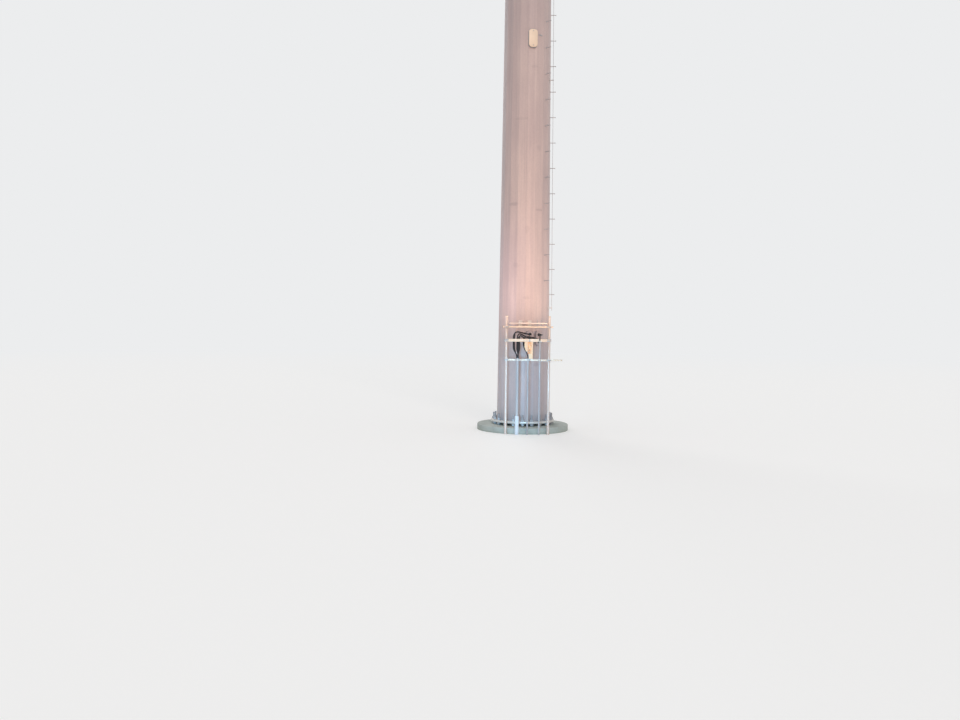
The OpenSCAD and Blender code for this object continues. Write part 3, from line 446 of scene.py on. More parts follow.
def rope_finish():
    """Wire rope: the lay shows as fine slanting ridges, with painted shade in the grooves and painted
    highlight on the crests.
    """
    f = Finish("wire_rope", Metallic=0.6, Roughness=0.45)
    place = f.xyz()
    ridge = f.math("SINE", f.plus(f.times(place[0], 900.0), f.times(place[2], 520.0)))
    # Painted shade and highlight: the colour follows the ridges, dark in the grooves and light on the crests.
    tone = f.mix(f.span(ridge, -1.0, 1.0), srgb(130, 130, 132), srgb(206, 204, 202))
    tone = f.mix(f.span(f.noise(5.0), 0.45, 0.75, 0.0, 0.4), tone, srgb(150, 142, 136))
    return f.set(Base_Color=tone, Normal=f.bump(ridge, 0.0008, 0.8))


zinc_shaft = shaft_finish()
zinc = galvanised("bright_zinc", srgb(232, 226, 218), srgb(198, 194, 190), 0.3, 0.42, 150.0)
# Zinc of the posts and deck: its own tone, with a pinkish cream tint that is painted warm sunlight.
frame_zinc_and_painted_sun = galvanised("frame_zinc_and_painted_sun", srgb(226, 210, 200), srgb(202, 184, 175), 0.35, 0.4, 150.0, streak=0.25)
# Zinc of the struts: its bright cream tint is painted sunlight over the zinc's own tone.
strut_zinc_and_painted_sun = galvanised("strut_zinc_and_painted_sun", srgb(238, 217, 194), srgb(218, 197, 174), 0.2, 0.42, 150.0, streak=0.25)
riser_zinc = galvanised("riser_zinc", srgb(190, 187, 187), srgb(158, 156, 160), 0.25, 0.46, 170.0)
# Zinc of the ground bar's plates: its cream orange tone is painted low sunlight over the zinc's own colour.
plate_zinc_and_painted_sun = galvanised("plate_zinc_and_painted_sun", srgb(250, 213, 174), srgb(234, 196, 158), 0.1, 0.45, 170.0, streak=0.2)
dull_zinc = galvanised("dull_zinc", srgb(196, 196, 198), srgb(150, 150, 156), 0.35, 0.52, 190.0,
                       stain=srgb(140, 124, 112))
cover_zinc = galvanised("cover_zinc", srgb(240, 220, 198), srgb(219, 200, 181), 0.15, 0.42, 170.0, streak=0.2)
concrete = concrete_finish()
rubber = plastic_finish("black_rubber", srgb(34, 33, 35), srgb(70, 68, 68), 0.62, 900.0)
jacket = plastic_finish("black_jacket", srgb(24, 23, 27), srgb(58, 55, 60), 0.46, 1200.0, 0.0001)
pvc = plastic_finish("white_pipe", srgb(226, 230, 236), srgb(190, 192, 192), 0.34, 800.0, 0.0001)
radome = plastic_finish("radome", srgb(224, 225, 223), srgb(204, 205, 202), 0.46, 500.0)
housing = plastic_finish("housing_paint", srgb(212, 214, 214), srgb(170, 170, 168), 0.42, 700.0, 0.00015)
copper = copper_finish()
rope = rope_finish()

# The finish of each solid of the part
FINISHES = {
    zinc_shaft: "shaft_section_1 shaft_section_2 shaft_section_3 shaft_section_4 top_cap entry_port_rims",
    zinc: "platform_arms platform_frame handrail mast_pipes lightning_rod base_plate pole_brackets",
    # Posts and deck: zinc with painted warm sunlight in its pinkish cream tint.
    frame_zinc_and_painted_sun: "bridge_posts bridge_deck",
    # Cross struts: zinc with painted sunlight in its bright cream tint.
    strut_zinc_and_painted_sun: "cross_struts",
    riser_zinc: "conduit_risers",
    dull_zinc: "anchor_bolts levelling_nuts anchor_nuts port_rims jacking_lugs step_bolts_1 step_bolts_2 "
               "step_bolts_3 step_bolts_4 cable_guides hanger_rods ground_bar_brackets platform_collar "
               "platform_grating antenna_brackets",
    cover_zinc: "port_covers post_caps",
    concrete: "concrete_pier",
    rubber: "entry_port_boots",
    jacket: "riser_cables",
    pvc: "ground_sleeve",
    copper: "ground_bar",
    rope: "safety_cable",
    radome: "antennas_a antennas_b antennas_c",
    housing: "radios surge_box",
}
for finish, names in FINISHES.items():
    for name in names.split():
        nodes[name].data.materials.clear()
        nodes[name].data.materials.append(finish)

# Edges that catch the light on cut and rolled steel
EDGES = {
    "base_plate": 1.5, "platform_collar": 1.0, "top_cap": 1.0, "jacking_lugs": 1.2, "pole_brackets": 1.2,
    "platform_frame": 0.8, "cross_struts": 0.5, "bridge_deck": 0.4, "platform_arms": 2.0,
    "ground_bar_brackets": 0.4, "antenna_brackets": 0.6, "cable_guides": 0.6, "radios": 1.0,
}
for name, width in EDGES.items():
    weld = nodes[name].modifiers.new("weld", "WELD")
    weld.merge_threshold = 0.00001
    edge = nodes[name].modifiers.new("edge", "BEVEL")
    edge.width = width * MM
    edge.segments = 2
    edge.limit_method = "ANGLE"
    edge.angle_limit = radians(35)
    edge.harden_normals = True

# The shaft's own measures, as in the part's source

TAPER = 0.0149
BASE = 748.0
BEND = 24.0
LEAN = degrees(atan(TAPER / 2))
SHAFT_BOTTOM = 152.0
SHAFT_TOP = 29002.0
SECTION = 7212.5
UPPER_WALLS = (4.0, 3.2, 2.6)
JOINTS = [SHAFT_BOTTOM + i * SECTION for i in range(4)]
widths = [BASE]
for wall in UPPER_WALLS:
    widths.append(widths[-1] - TAPER * SECTION + 2 * (wall + 0.3))
# In degrees: one flat to the next, the flat nearest to the front, the safety cable's, and the faces
FLAT = 20
FRONT_FLAT = 13
CABLE_FLAT = 73
THIRDS = (0, 120, 240)


def flat_r(z):
    """From the axis to the middle of a flat, at a height."""
    i = min(3, max(0, int((z - SHAFT_BOTTOM) // SECTION)))
    return (widths[i] - TAPER * (z - JOINTS[i])) / 2


def on_shaft(angle, z):
    """X along a flat, Y up it and Z straight out of it."""
    return turned("Z", angle) @ moved(0, -flat_r(z), z) @ turned("X", 90 - LEAN)


def foot_outline():
    """The outline of the shaft's foot, with each bend as two chords."""
    half = radians(FLAT / 2)
    centre = (BASE / 2 - BEND) / cos(half)
    points = []
    for k in range(360 // FLAT):
        corner = radians(FRONT_FLAT + FLAT * (k + 0.5))
        for turn in (corner - half, corner, corner + half):
            points.append((centre * sin(corner) + BEND * sin(turn),
                           -centre * cos(corner) - BEND * cos(turn)))
    return points


def walked(outline, step):
    """Points along a closed outline, about a step apart."""
    points = []
    for i, (x, y) in enumerate(outline):
        u, v = outline[(i + 1) % len(outline)]
        n = max(1, round(hypot(u - x, v - y) / step))
        points += [(x + (u - x) * j / n, y + (v - y) * j / n) for j in range(n)]
    return points


def bead(size, i):
    """The section of a weld bead, which swells a little from ripple to ripple."""
    r = size * (1.0 + 0.09 * sin(i * 2.4) + 0.05 * sin(i * 0.37))
    return disc(r, 8)


def ring_bead(form, outline, size, step, place):
    """A weld bead round a closed outline at z = 0."""
    path = [(x, y, 0) for x, y in walked(outline, step)]
    form.add(sweep(path, lambda i: bead(size, i), closed=True), place)


def port_outline(w, h, margin):
    return rounded(w + 2 * margin, h + 2 * margin, 0.32 * w + margin, 6)


def round_port(w, h, profile, closed=False):
    """A profile of (margin, height) carried round a port."""
    return skin([[(x, y, out) for x, y in port_outline(w, h, margin)] for margin, out in profile], closed)


# Base: threaded anchor rods, with nuts and washers above and below the plate

ANCHORS = 20
PLATE = 30
rods = Form()
nuts = Form()
for i in range(ANCHORS):
    place = turned("Z", 360 / ANCHORS * i) @ moved(0, -BASE / 2 - 47, 0)
    profile = [(14, 84), *threaded(28, 1.2, 2.8, 86, 94), (13.6, 96), (13.6, 178)]
    profile += threaded(28, 1.2, 2.8, 180, 241)
    rods.add(lathe(profile + [(11.5, 244)], 20), place)
    for z, flip in ((SHAFT_BOTTOM, 0), (SHAFT_BOTTOM - PLATE, 180)):
        side = place @ moved(0, 0, z) @ turned("X", flip)
        nuts.add(washer(28, 4, 14.3), side)
        nuts.add(nut(44, 26, 0.7 * i + z), side @ moved(0, 0, 4))
piece("anchor_rods", rods, dull_zinc, ("anchor_bolts",))
piece("anchor_nut_set", nuts, dull_zinc, ("anchor_nuts", "levelling_nuts"))

# Openings of the shaft: angle, height of the centre, width and height

ENTRY_Z = 1330
PORT_Z = 5530
EXIT_Z = 27660.4
LID_TOP = 35
PORTS = [(FRONT_FLAT, PORT_Z + i * SECTION, 112, 236) for i in range(3)]
EXITS = [(FRONT_FLAT + a, EXIT_Z, 56, 118) for a in THIRDS]
ENTRIES = [(FRONT_FLAT + a, ENTRY_Z, 96, 190) for a in (0, FLAT)]

# Welds: round the foot, the port rims and the jacking lugs, and the two seams of each section

welds = Form()
ring_bead(welds, foot_outline(), 8, 9, moved(0, 0, SHAFT_BOTTOM + 1))
for angle, z, w, h in PORTS + EXITS + ENTRIES:
    ring_bead(welds, port_outline(w, h, 6), 4, 7, on_shaft(angle, z))
for z in JOINTS[1:]:
    for angle in (133, 313):
        for side in (-60, 60):
            ring_bead(welds, rounded(34, 44, 1, 1), 3.5, 5, on_shaft(angle, z + side))
SEAM_STEPS = 90
for angle in (-67, 113):
    for joint, above in zip(JOINTS, (*JOINTS[1:], SHAFT_TOP)):
        low = joint + 12
        high = above - 2
        heights = [low + (high - low) * j / SEAM_STEPS for j in range(SEAM_STEPS + 1)]
        seam = [(0, -flat_r(z), z) for z in heights]
        welds.add(sweep(seam, lambda i: bead(2.2, i)), turned("Z", angle))
piece("weld_beads", welds, dull_zinc, sharp=60)

# Ports: lids with softened edges on black rubber rings, whose dark edge round each lid is also painted shade
# of the gap, and their bolts

lids = Form()
entry_lids = Form()
gasket_rings_and_gap_shade = Form()
port_bolts = Form()
for angle, z, w, h in PORTS + EXITS + ENTRIES:
    place = on_shaft(angle, z)
    edge = ((4.6, 30.2), (6, 31.4), (6, 33.6), (5.4, 34.6), (4.4, LID_TOP))
    # A black rubber ring standing out past each lid, whose dark edge is painted shade of the gap between rim
    # and lid.
    seal_profile_and_gap_shade = ((4, 27.4), (7.2, 27.4), (7.2, 30.4), (4, 30.4))
    gasket_rings_and_gap_shade.add(round_port(w, h, seal_profile_and_gap_shade, closed=True), place)
    if z == ENTRY_Z:
        entry_lids.add(round_port(w, h, edge), place)
        spots = [(x, y) for x in (-36, 36) for y in (-82, 82)]
    else:
        lids.add(round_port(w, h, edge), place)
        spots = [(0, -h / 2 + 0.16 * w), (0, h / 2 - 0.16 * w)]
    for x, y in spots:
        port_bolts.bolt(place @ moved(x, y, LID_TOP), 10, 4.5, 0)
piece("port_lids", lids, cover_zinc, ("port_covers",), 30)
piece("entry_port_lids", entry_lids, zinc_shaft, sharp=30)
piece("port_gasket_rings_and_gap_shade", gasket_rings_and_gap_shade, rubber)
piece("port_bolts", port_bolts, dull_zinc)

boots = Form()
hose_clamps = Form()
for angle, cable_r, rows in ((FRONT_FLAT, 8.5, (-55, 0, 55)), (FRONT_FLAT + FLAT, 8, (-50, 50))):
    for row in rows:
        place = on_shaft(angle, ENTRY_Z) @ moved(0, row, LID_TOP)
        bore = cable_r + 0.3
        r = cable_r + 5.6
        profile = [(bore, 0.1), (21.2, 0.1), (22, 1), (22, 3.6), (20.8, 5), (r + 1.6, 5.4), (r + 0.4, 6.6)]
        for k in range(4):
            profile += [(r, 8 + 2.2 * k), (r - 1.3, 9.1 + 2.2 * k)]
        profile += [(r, 17), (r, 25.5), (r + 0.8, 26.4), (r + 0.8, 29.6), (r - 0.4, 31), (bore, 31)]
        boots.add(hoop(profile, 28), place)
        band = [(r - 0.4, 18), (r + 0.8, 18), (r + 0.8, 24), (r - 0.4, 24)]
        hose_clamps.add(hoop(band, 28), place)
        hose_clamps.add(box(8, 4.5, 7), place @ moved(0, -r - 2.4, 21))
        screw = lathe([(1.8, -7.5), (2.3, -7), (2.3, 7), (1.8, 7.5)], 10)
        hose_clamps.add(screw, place @ moved(0, -r - 2.8, 21) @ turned("Y", 90))
piece("cable_boots", boots, rubber, ("entry_port_boots",), 50)
piece("boot_clamps", hose_clamps, zinc)

pad = Form()
place = on_shaft(FRONT_FLAT + FLAT, PORT_Z + 66)
pad.add(slab(57, 15, 1.5, 10, 1.0, 2), place)
for x in (-17, 17):
    pad.bolt(place @ moved(x, 0, 10), 8, 4, 2)
ring_bead(pad, rounded(57, 15, 1.5, 2), 2.4, 4, place)
piece("ground_pad", pad, dull_zinc)

# Climbing: step bolts with their nuts and heads, and the bolts of the safety cable's guides

STEP_PITCH = 366.0
STEP_START = 1970.0
CLIMB_TOP = 27852.0
steps = Form()
for n in range(int((CLIMB_TOP - STEP_START) // STEP_PITCH) + 1):
    for row, angle in enumerate((CABLE_FLAT + FLAT, CABLE_FLAT - FLAT)):
        z = STEP_START + (n + row / 2) * STEP_PITCH
        if z >= CLIMB_TOP or min(abs(z - joint) for joint in JOINTS[1:]) < 16:
            continue
        place = on_shaft(angle, z)
        shank = [(4.75, 0), (4.75, 9), *threaded(9.5, 0.5, 2.2, 9.4, 20), (4.75, 21), (4.75, 77)]
        shank += [(5.6, 78), (8.4, 78), (9, 78.8), (9, 80), (7.6, 81.5), (4, 82)]
        steps.add(lathe(shank, 14), place)
        steps.add(washer(10.4, 1.4, 4.6), place)
        steps.add(nut(16, 7, n), place @ moved(0, 0, 1.4))
piece("step_bolt_set", steps, dull_zinc, ("step_bolts_1", "step_bolts_2", "step_bolts_3", "step_bolts_4"))

CABLE_BOTTOM = 1730.0
RUN = CLIMB_TOP - CABLE_BOTTOM - 80
SPANS = ceil(RUN / 3400)
guide_bolts = Form()
for n in range(SPANS + 1):
    z = CABLE_BOTTOM + 40 + n * RUN / SPANS
    for side in (-12.5, 12.5):
        guide_bolts.bolt(on_shaft(CABLE_FLAT, z) @ moved(0, side, 5), 7, 3.6, 1.5)
    for turn in (90, 270):
        place = turned("Z", CABLE_FLAT) @ moved(0, -flat_r(z) - 22, z) @ turned("Y", turn)
        guide_bolts.add(nut(8, 3.4, 0.3), place @ moved(0, 0, 5))
piece("guide_bolts", guide_bolts, zinc)

# Cable frame: clamps at the crossings, end caps, threaded hangers, the deck's rods and bracket bolts

POST_XS = (-234, 351)
POST_Y = -652.0
STRUT_Y = -691.3
ROD_Y = -681.3
DECK_STRUT_Z = 1484.0
CABLE_BAR_Z = 1300.0
RISER_STRUT_Z = 1031.0
DECK_Z = 1525.0
post_clamps = Form()
for level in (DECK_STRUT_Z, CABLE_BAR_Z - 10, CABLE_BAR_Z + 10, RISER_STRUT_Z):
    for x in POST_XS:
        post_clamps.u_bolt(moved(x, POST_Y, level), 19, 5, 36)
        post_clamps.add(slab(58, 15, 1.5, 2.4, 0.6, 2), facing(x, STRUT_Y, level))
        for sx in (-21.5, 21.5):
            post_clamps.bolt(facing(x + sx, STRUT_Y - 2.4, level), 8, 4, 3)
piece("post_clamps", post_clamps, dull_zinc)

# Each strut: its height, its two ends and its depth
STRUTS = ((DECK_STRUT_Z, -283, 400, 20), (CABLE_BAR_Z, -253, 370, 40), (RISER_STRUT_Z, -253, 530, 20))
strut_caps = Form()
for z, left, right, depth in STRUTS:
    for x, way in ((left, -1), (right, 1)):
        place = moved(x, ROD_Y, z) @ turned("Y", 90 * way) @ moved(0, 0, 0.1)
        strut_caps.add(slab(depth + 1.6, 21.6, 2.4, 2.2, 0.7, 2), place)
piece("strut_end_caps", strut_caps, rubber)

hangers = Form()
strut_bottom = DECK_STRUT_Z - 10
for x, rise in ((188, 44), (236, 44), (-184, 16), (310, 16)):
    top = DECK_Z + 18 + rise
    thread = threaded(8, 0.5, 1.25, strut_bottom - 13.4, top - 0.6)
    hangers.add(lathe([(3.4, strut_bottom - 14), *thread, (3.2, top)], 14), moved(x, ROD_Y, 0))
    for z in (strut_bottom - 6.3, strut_bottom + 20.3, DECK_Z - 6.3, DECK_Z + 3.3):
        hangers.add(nut(13, 6, z), moved(x, ROD_Y, z))
    hangers.add(slab(18, 18, 2, 1.6), moved(x, ROD_Y, strut_bottom - 1.7))
piece("hanger_set", hangers, dull_zinc, ("hanger_rods",))

deck_rods = Form()
deck_back = -flat_r(DECK_Z) - 30
for i in range(1, 10):
    y = STRUT_Y + (deck_back - STRUT_Y) * i / 10
    deck_rods.add(tube([(-194, y, DECK_Z + 15.5), (320, y, DECK_Z + 15.5)], 2, 8))
piece("deck_cross_rods", deck_rods, zinc)

bracket_bolts = Form()
for angle in (FRONT_FLAT - FLAT, FRONT_FLAT):
    for x in (-20, 20):
        for y in (-34, 34):
            bracket_bolts.bolt(on_shaft(angle, DECK_Z + 9) @ moved(x, y, 10), 9, 4.5, 2.5)
piece("bracket_bolts", bracket_bolts, zinc)

# Risers: side position, width and top, with clamps on the struts and bushings for the cables

RISERS = ((-78, 44, 1056), (65, 24, 1056), (224, 24, 1290))
clamps = Form()
bushings = Form()
for x, d, top in RISERS:
    r = d / 2
    y = STRUT_Y - 0.3 - r
    foot = r + 0.7
    turns = [radians(15 * j) for j in range(13)]
    path = [(r + 15, foot, 0), (r + 3, foot, 0)]
    path += [((r + 1.2) * cos(a), -(r + 1.2) * sin(a), 0) for a in turns]
    path += [(-r - 3, foot, 0), (-r - 15, foot, 0)]
    for level in (RISER_STRUT_Z, CABLE_BAR_Z - 12):
        if level < top:
            clamps.add(sweep(path, [(-1.2, -9), (1.2, -9), (1.2, 9), (-1.2, 9)]), moved(x, y, level))
            for side in (-1, 1):
                clamps.bolt(facing(x + side * (r + 9), STRUT_Y - 1.4, level), 8, 4, 1.5)
    collar = [(r - 2.4, -8), (r - 1.9, -8), (r - 1.9, 0), (r + 1.8, 0), (r + 2.2, 2), (r + 1.2, 4),
              (r - 1.6, 4), (r - 2.4, 2.5)]
    putty = [(r - 2.5, -10), (r - 2.5, -2), (r - 6, 1), (r / 3, 2)]
    bushings.add(hoop(collar, 32), moved(x, y, top))
    bushings.add(lathe(putty), moved(x, y, top))
piece("riser_clamps", clamps, zinc)
piece("riser_bushings", bushings, rubber)

# Cables: the same routes as the solids, on smooth curves, with heights from the entry ports' centres

ROUTES = [(8.5, [
    (-87, -708, -330), (-87, -708, -274), (-89, -708, -252), (-95, -707, -230), (-106, -704, -205),
    (-118, -699, -180), (-127, -691, -152), (-131, -681, -122), (-132, -670, -92), (-132, -663, -64),
    (-132, -662, -36), (-132, -662, -8), (-131, -657, 22), (-127, -648, 49), (-118, -632, 70),
    (-103, -612, 82), (-82, -589, 86), (-57, -566, 83), (-28, -543, 76), (3, -522, 69),
    (35, -505, 63), (66, -490, 58), (91, -473, 56), (103, -451, 55), (99, -428.7, 55.4),
    (90.5, -391.9, 55.4),
]), (8.5, [
    (-69, -708, -330), (-69, -708, -274), (-70, -708, -246), (-75, -706, -212), (-80, -700, -176),
    (-82, -690, -142), (-82, -678, -110), (-82, -667, -80), (-82, -662, -54), (-82, -662, -24),
    (-82, -661, 2), (-79, -654, 28), (-72, -640, 47), (-60, -619, 57), (-43, -596, 57),
    (-22, -573, 48), (3, -550, 35), (31, -526, 20), (59, -504, 8), (84, -481, 2),
    (100, -456, 0.4), (99, -428.7, 0.4), (90.5, -391.9, 0.4),
]), (8.5, [
    (-78, -723, -330), (-78, -723, -274), (-76, -726, -246), (-69, -724, -212), (-62, -716, -176),
    (-60, -703, -142), (-60, -688, -110), (-60, -673, -82), (-60, -663, -54), (-60, -662, -26),
    (-59, -659, 0), (-55, -649, 21), (-47, -632, 32), (-34, -610, 31), (-17, -587, 20),
    (4, -564, 4), (27, -541, -15), (51, -519, -33), (74, -498, -46), (92, -476, -52),
    (101, -453, -54), (99, -428.7, -54.6), (90.5, -391.9, -54.6),
]), (8, [
    (65, -703.6, -330), (65, -703.6, -274), (63, -703.6, -252), (56, -702, -228), (44, -698, -197),
    (30, -690, -166), (16, -680, -134), (6, -670, -102), (2, -664, -74), (1, -662.6, -50),
    (1, -662, -26), (4, -661, -8), (14, -658, 8), (32, -654, 16), (56, -650, 19), (84, -646, 18),
    (112, -641, 15), (140, -634, 9), (167, -623, 1), (191, -608, -9), (213, -588, -19),
    (232, -563, -28), (247, -535, -36), (258, -505, -42), (265, -473, -47), (265, -441, -49),
    (259, -411, -50), (250, -388, -49.6), (239.6, -369, -49.6), (219.1, -337.3, -49.6),
]), (8, [
    (224, -703.6, -100), (224, -703.6, -38), (224, -703, -14), (225, -698, 8), (226, -686, 26),
    (228, -668, 36), (231, -645, 39), (235, -618, 40), (240, -588, 41), (246, -557, 43),
    (252, -525, 45), (257, -493, 47), (260, -462, 49), (260, -433, 50), (256, -408, 50.4),
    (249, -386, 50.4), (239.6, -369, 50.4), (219.1, -337.3, 50.4),
])]


def smoothed(points, steps=4):
    """A smooth curve through a list of points."""
    points = [Vector(p) for p in points]
    made = []
    for i in range(len(points) - 1):
        a = points[max(i - 1, 0)]
        b = points[i]
        c = points[i + 1]
        d = points[min(i + 2, len(points) - 1)]
        for j in range(steps):
            t = j / steps
            made.append(0.5 * (2 * b + (c - a) * t + (2 * a - 5 * b + 4 * c - d) * t * t
                               + (3 * b - a - 3 * c + d) * t * t * t))
    return made + [points[-1]]


cables = Form()
for r, points in ROUTES:
    cables.add(tube(smoothed(points), r, 16), moved(0, 0, ENTRY_Z))
piece("cable_runs", cables, jacket, ("riser_cables",), 60)


def track(route, level):
    """Where a route's centre line first passes a level."""
    points = ROUTES[route][1]
    for lower, upper in zip(points, points[1:]):
        if lower[2] <= level <= upper[2]:
            return Vector(lower).lerp(Vector(upper), (level - lower[2]) / (upper[2] - lower[2]))
    return points[-1]


def wrapping(b, c, r, back, level):
    """An outline round two cables side by side, or round one."""
    turn = atan2(c[1] - b[1], c[0] - b[0])
    rim = []
    for centre, start in ((c, -0.5), (b, 0.5)):
        for i in range(12):
            a = turn + pi * (start + (i + 0.5) / 12)
            rim.append(Vector((centre[0] + r * cos(a), centre[1] + back + r * sin(a), level)))
    return rim


def loom(pair, low, high, size):
    """A wrap of black tape round one or two cables, thickest in its middle."""
    steps = 30
    bore = ROUTES[pair[0]][0] + 0.35
    outer = []
    inner = []
    for i in range(steps + 1):
        level = low + (high - low) * i / steps
        b, c = (track(k, level) for k in pair)
        at_bar = -68 < level < 8
        free = bore if at_bar else bore + 1.4
        lap = 0.0 if at_bar else 0.35 * sin(level * 0.55)
        grown = sqrt(min(1.0, min(i, steps - i) / 4))
        r = max(free + 0.3, bore + 0.4 + (size - bore - 0.4) * grown + lap)
        outer.append(wrapping(b, c, r, r - free - 0.25, level))
        inner.append(wrapping(b, c, free, 0.0, level))
    return skin(outer + inner[::-1], closed=True)


looms = Form()
for pair, low, high, size in (((0, 0), -190, 62, 16.5), ((1, 2), -176, 14, 15.0), ((3, 3), -180, 2, 13.5)):
    looms.add(loom(pair, low, high, size), moved(0, 0, ENTRY_Z))
piece("cable_looms", looms, jacket, sharp=60)

cushion = Form()
cushion.add(box(104, 17, 14, 1.5), moved(134, -681.5, CABLE_BAR_Z + 27.2))
piece("bar_cushion", cushion, rubber)

# Ground bar: copper cells with a hole each, the plates and spacers behind them, and the bolts

BAR_X = 85
BAR_LOW = 1115
BAR_FACE = -711.6
BAR_THICK = 3.0
STRIP_FACE = -694.6
ROWS = 8
CELL_W = 25.0
CELL_H = 20.0
HOLE = 3.6
# Points round a cell, in turn on its edge and on its hole, with the corners where they are nearest
rim = []
for j in range(16):
    a = 2 * pi * (j + 0.5) / 16
    x = cos(a)
    y = sin(a)
    reach = min(CELL_W / 2 / abs(x), CELL_H / 2 / abs(y))
    corner = (copysign(CELL_W / 2, x), copysign(CELL_H / 2, y))
    rim += [corner if j in (1, 6, 9, 14) else (x * reach, y * reach), (x * HOLE, y * HOLE)]
cell = [(x, y, z) for z in (0.0, BAR_THICK) for x, y in rim]
bar = Form()
for column in range(2):
    for row in range(ROWS):
        walls = [14, 15, 0] if column else [6, 7, 8]
        if row == 0:
            walls += range(9, 14)
        if row == ROWS - 1:
            walls += range(1, 6)
        faces = []
        for j in range(16):
            a = 2 * j
            b = (a + 2) % 32
            faces += [(a, b, b + 1, a + 1), (a + 32, a + 33, b + 33, b + 32), (a + 1, b + 1, b + 33, a + 33)]
            if j in walls:
                faces.append((a, a + 32, b + 32, b))
        x = BAR_X + (column - 0.5) * CELL_W
        bar.add((cell, faces), facing(x, BAR_FACE + BAR_THICK, BAR_LOW + (row + 0.5) * CELL_H))
piece("drilled_ground_bar", bar, copper, ("ground_bar",))

SHEET = 1.2
SHEET_BACK = -706.7
SHEETS = ((100, 131, 1048, 1280), (76, 100, 1048, 1133), (70, 100, 1167, 1223), (70, 100, 1257, 1280))
plates = Form()
for x0, x1, z0, z1 in SHEETS:
    centre = moved((x0 + x1) / 2, SHEET_BACK - SHEET / 2, (z0 + z1) / 2)
    plates.add(box(x1 - x0, SHEET, z1 - z0, 0.3), centre)
wing = [(15, 1280), (15, 1208), (36, 1148), (70, 1148), (70, 1280)]
plates.add(prism(wing, 0, SHEET), facing(0, SHEET_BACK, 0))
for z in (1090, 1268):
    plates.add(prism(disc(5, 16), 0.1, 12.0), facing(BAR_X, STRIP_FACE, z))
# The plates and spacers take the zinc with painted sunlight in its cream orange tone.
piece("ground_bar_frame", plates, plate_zinc_and_painted_sun)

bar_bolts = Form()
for z in (1150, 1240):
    bar_bolts.bolt(facing(BAR_X, BAR_FACE, z), 9, 4.5, 2)
for z in (1031, 1290, 1310):
    bar_bolts.bolt(facing(BAR_X, STRIP_FACE, z), 8, 4, 2)
for x, z in ((72.5, 1185), (97.5, 1205)):
    bar_bolts.bolt(facing(x, BAR_FACE, z), 8, 4, 4)
piece("ground_bar_bolts", bar_bolts, dull_zinc)

# Platform: clamps, bolts, welds and pipe ends

PLATFORM_Z = 28052.0
CORNER_Z = PLATFORM_Z - 30.3
ARM_Z = CORNER_Z - 25.3
FACE_LENGTH = 1905
FACE_PIPE = 22
MAST_PIPE = 15
RAIL_PIPE = 15
FACE_R = FACE_LENGTH / (2 * sqrt(3))
COLLAR_R = flat_r(ARM_Z - 100) / cos(radians(FLAT / 2)) + 8.3
MAST_R = FACE_R + FACE_PIPE + MAST_PIPE + 0.3
RAIL_R = MAST_R - MAST_PIPE - RAIL_PIPE - 0.3
RAIL_Z = PLATFORM_Z + 535
MAST_XS = (-882.5, -317.5, 317.5, 882.5)
MAST_LOW = PLATFORM_Z - 350
MAST_TOP = MAST_LOW + 1450
ACROSS = turned("X", 90) @ turned("Y", 90)
# The face pipe and the handrail: height, place, radius and how far off the clamps of a mast pipe sit
PIPES = ((PLATFORM_Z, -FACE_R, FACE_PIPE, 37), (RAIL_Z, -RAIL_R, RAIL_PIPE, 24))


def pipe_cap(r):
    """A cap that plugs a pipe's end and stands over its wall."""
    return lathe([(r - 3, -4), (r - 2.6, 0), (r + 0.6, 0), (r + 0.9, 1), (r + 0.4, 3.4), (r - 3, 5)])


platform_clamps = Form()
platform_bolts = Form()
pipe_caps = Form()
for face in THIRDS:
    turn = turned("Z", face)
    for level, y, pipe_r, off in PIPES:
        back = y + pipe_r + 0.3
        for x in MAST_XS:
            for z in (level - off, level + off):
                place = turn @ moved(x, -MAST_R, z) @ turned("Z", 180)
                platform_clamps.u_bolt(place, MAST_PIPE, 7, back + 5 + MAST_R + 11)
                for sx in (-18.5, 18.5):
                    platform_bolts.bolt(turn @ facing(x + sx, back + 5, z, 1), 11, 5.5, 0)
            platform_clamps.add(slab(56, 2 * off + 20, 3, 5, 0.8, 2), turn @ facing(x, back, level, 1))
        for side in (-1, 1):
            place = turn @ moved(side * (FACE_LENGTH / 2 - 50), y, level) @ turned("Y", 90 * side)
            pipe_caps.add(pipe_cap(pipe_r), place)
    for x in MAST_XS:
        for z, flip in ((MAST_LOW, 180), (MAST_TOP, 0)):
            pipe_caps.add(pipe_cap(MAST_PIPE), turn @ moved(x, -MAST_R, z) @ turned("X", flip))
    for x in (-837, -720, 720, 837):
        platform_clamps.u_bolt(turn @ moved(x, -FACE_R, PLATFORM_Z) @ ACROSS, FACE_PIPE, 7, 44)
        for sy in (-25.5, 25.5):
            platform_bolts.bolt(turn @ moved(x, -FACE_R + sy, CORNER_Z) @ turned("X", 180), 11, 5.5, 0)
    for up in (-70, 0, 70):
        for side, end in ((-1, 0), (1, 5)):
            place = turn @ moved(side * 13, -COLLAR_R - 22, ARM_Z + up) @ turned("Y", 90 * side)
            platform_bolts.bolt(place, 16, 8, end)
    corner = turned("Z", face + 60)
    for r in (890, 1004):
        platform_bolts.bolt(corner @ moved(0, -r, CORNER_Z + 8), 16, 8, 4)
        platform_bolts.bolt(corner @ moved(0, -r, ARM_Z - 25) @ turned("X", 180), 16, 8, 4)
    ring_bead(platform_bolts, rounded(50, 50, 2, 2), 4.5, 6, corner @ facing(0, -COLLAR_R - 0.4, ARM_Z))
    pipe_caps.add(slab(51, 51, 3, 2.6, 0.8, 2), corner @ facing(0, -1029.9, ARM_Z))
piece("platform_u_bolts", platform_clamps, zinc)
piece("platform_fasteners", platform_bolts, dull_zinc)
piece("pipe_end_caps", pipe_caps, rubber)

# Grating of the platform: three panels of bars and cross rods, each in an edge of six sides

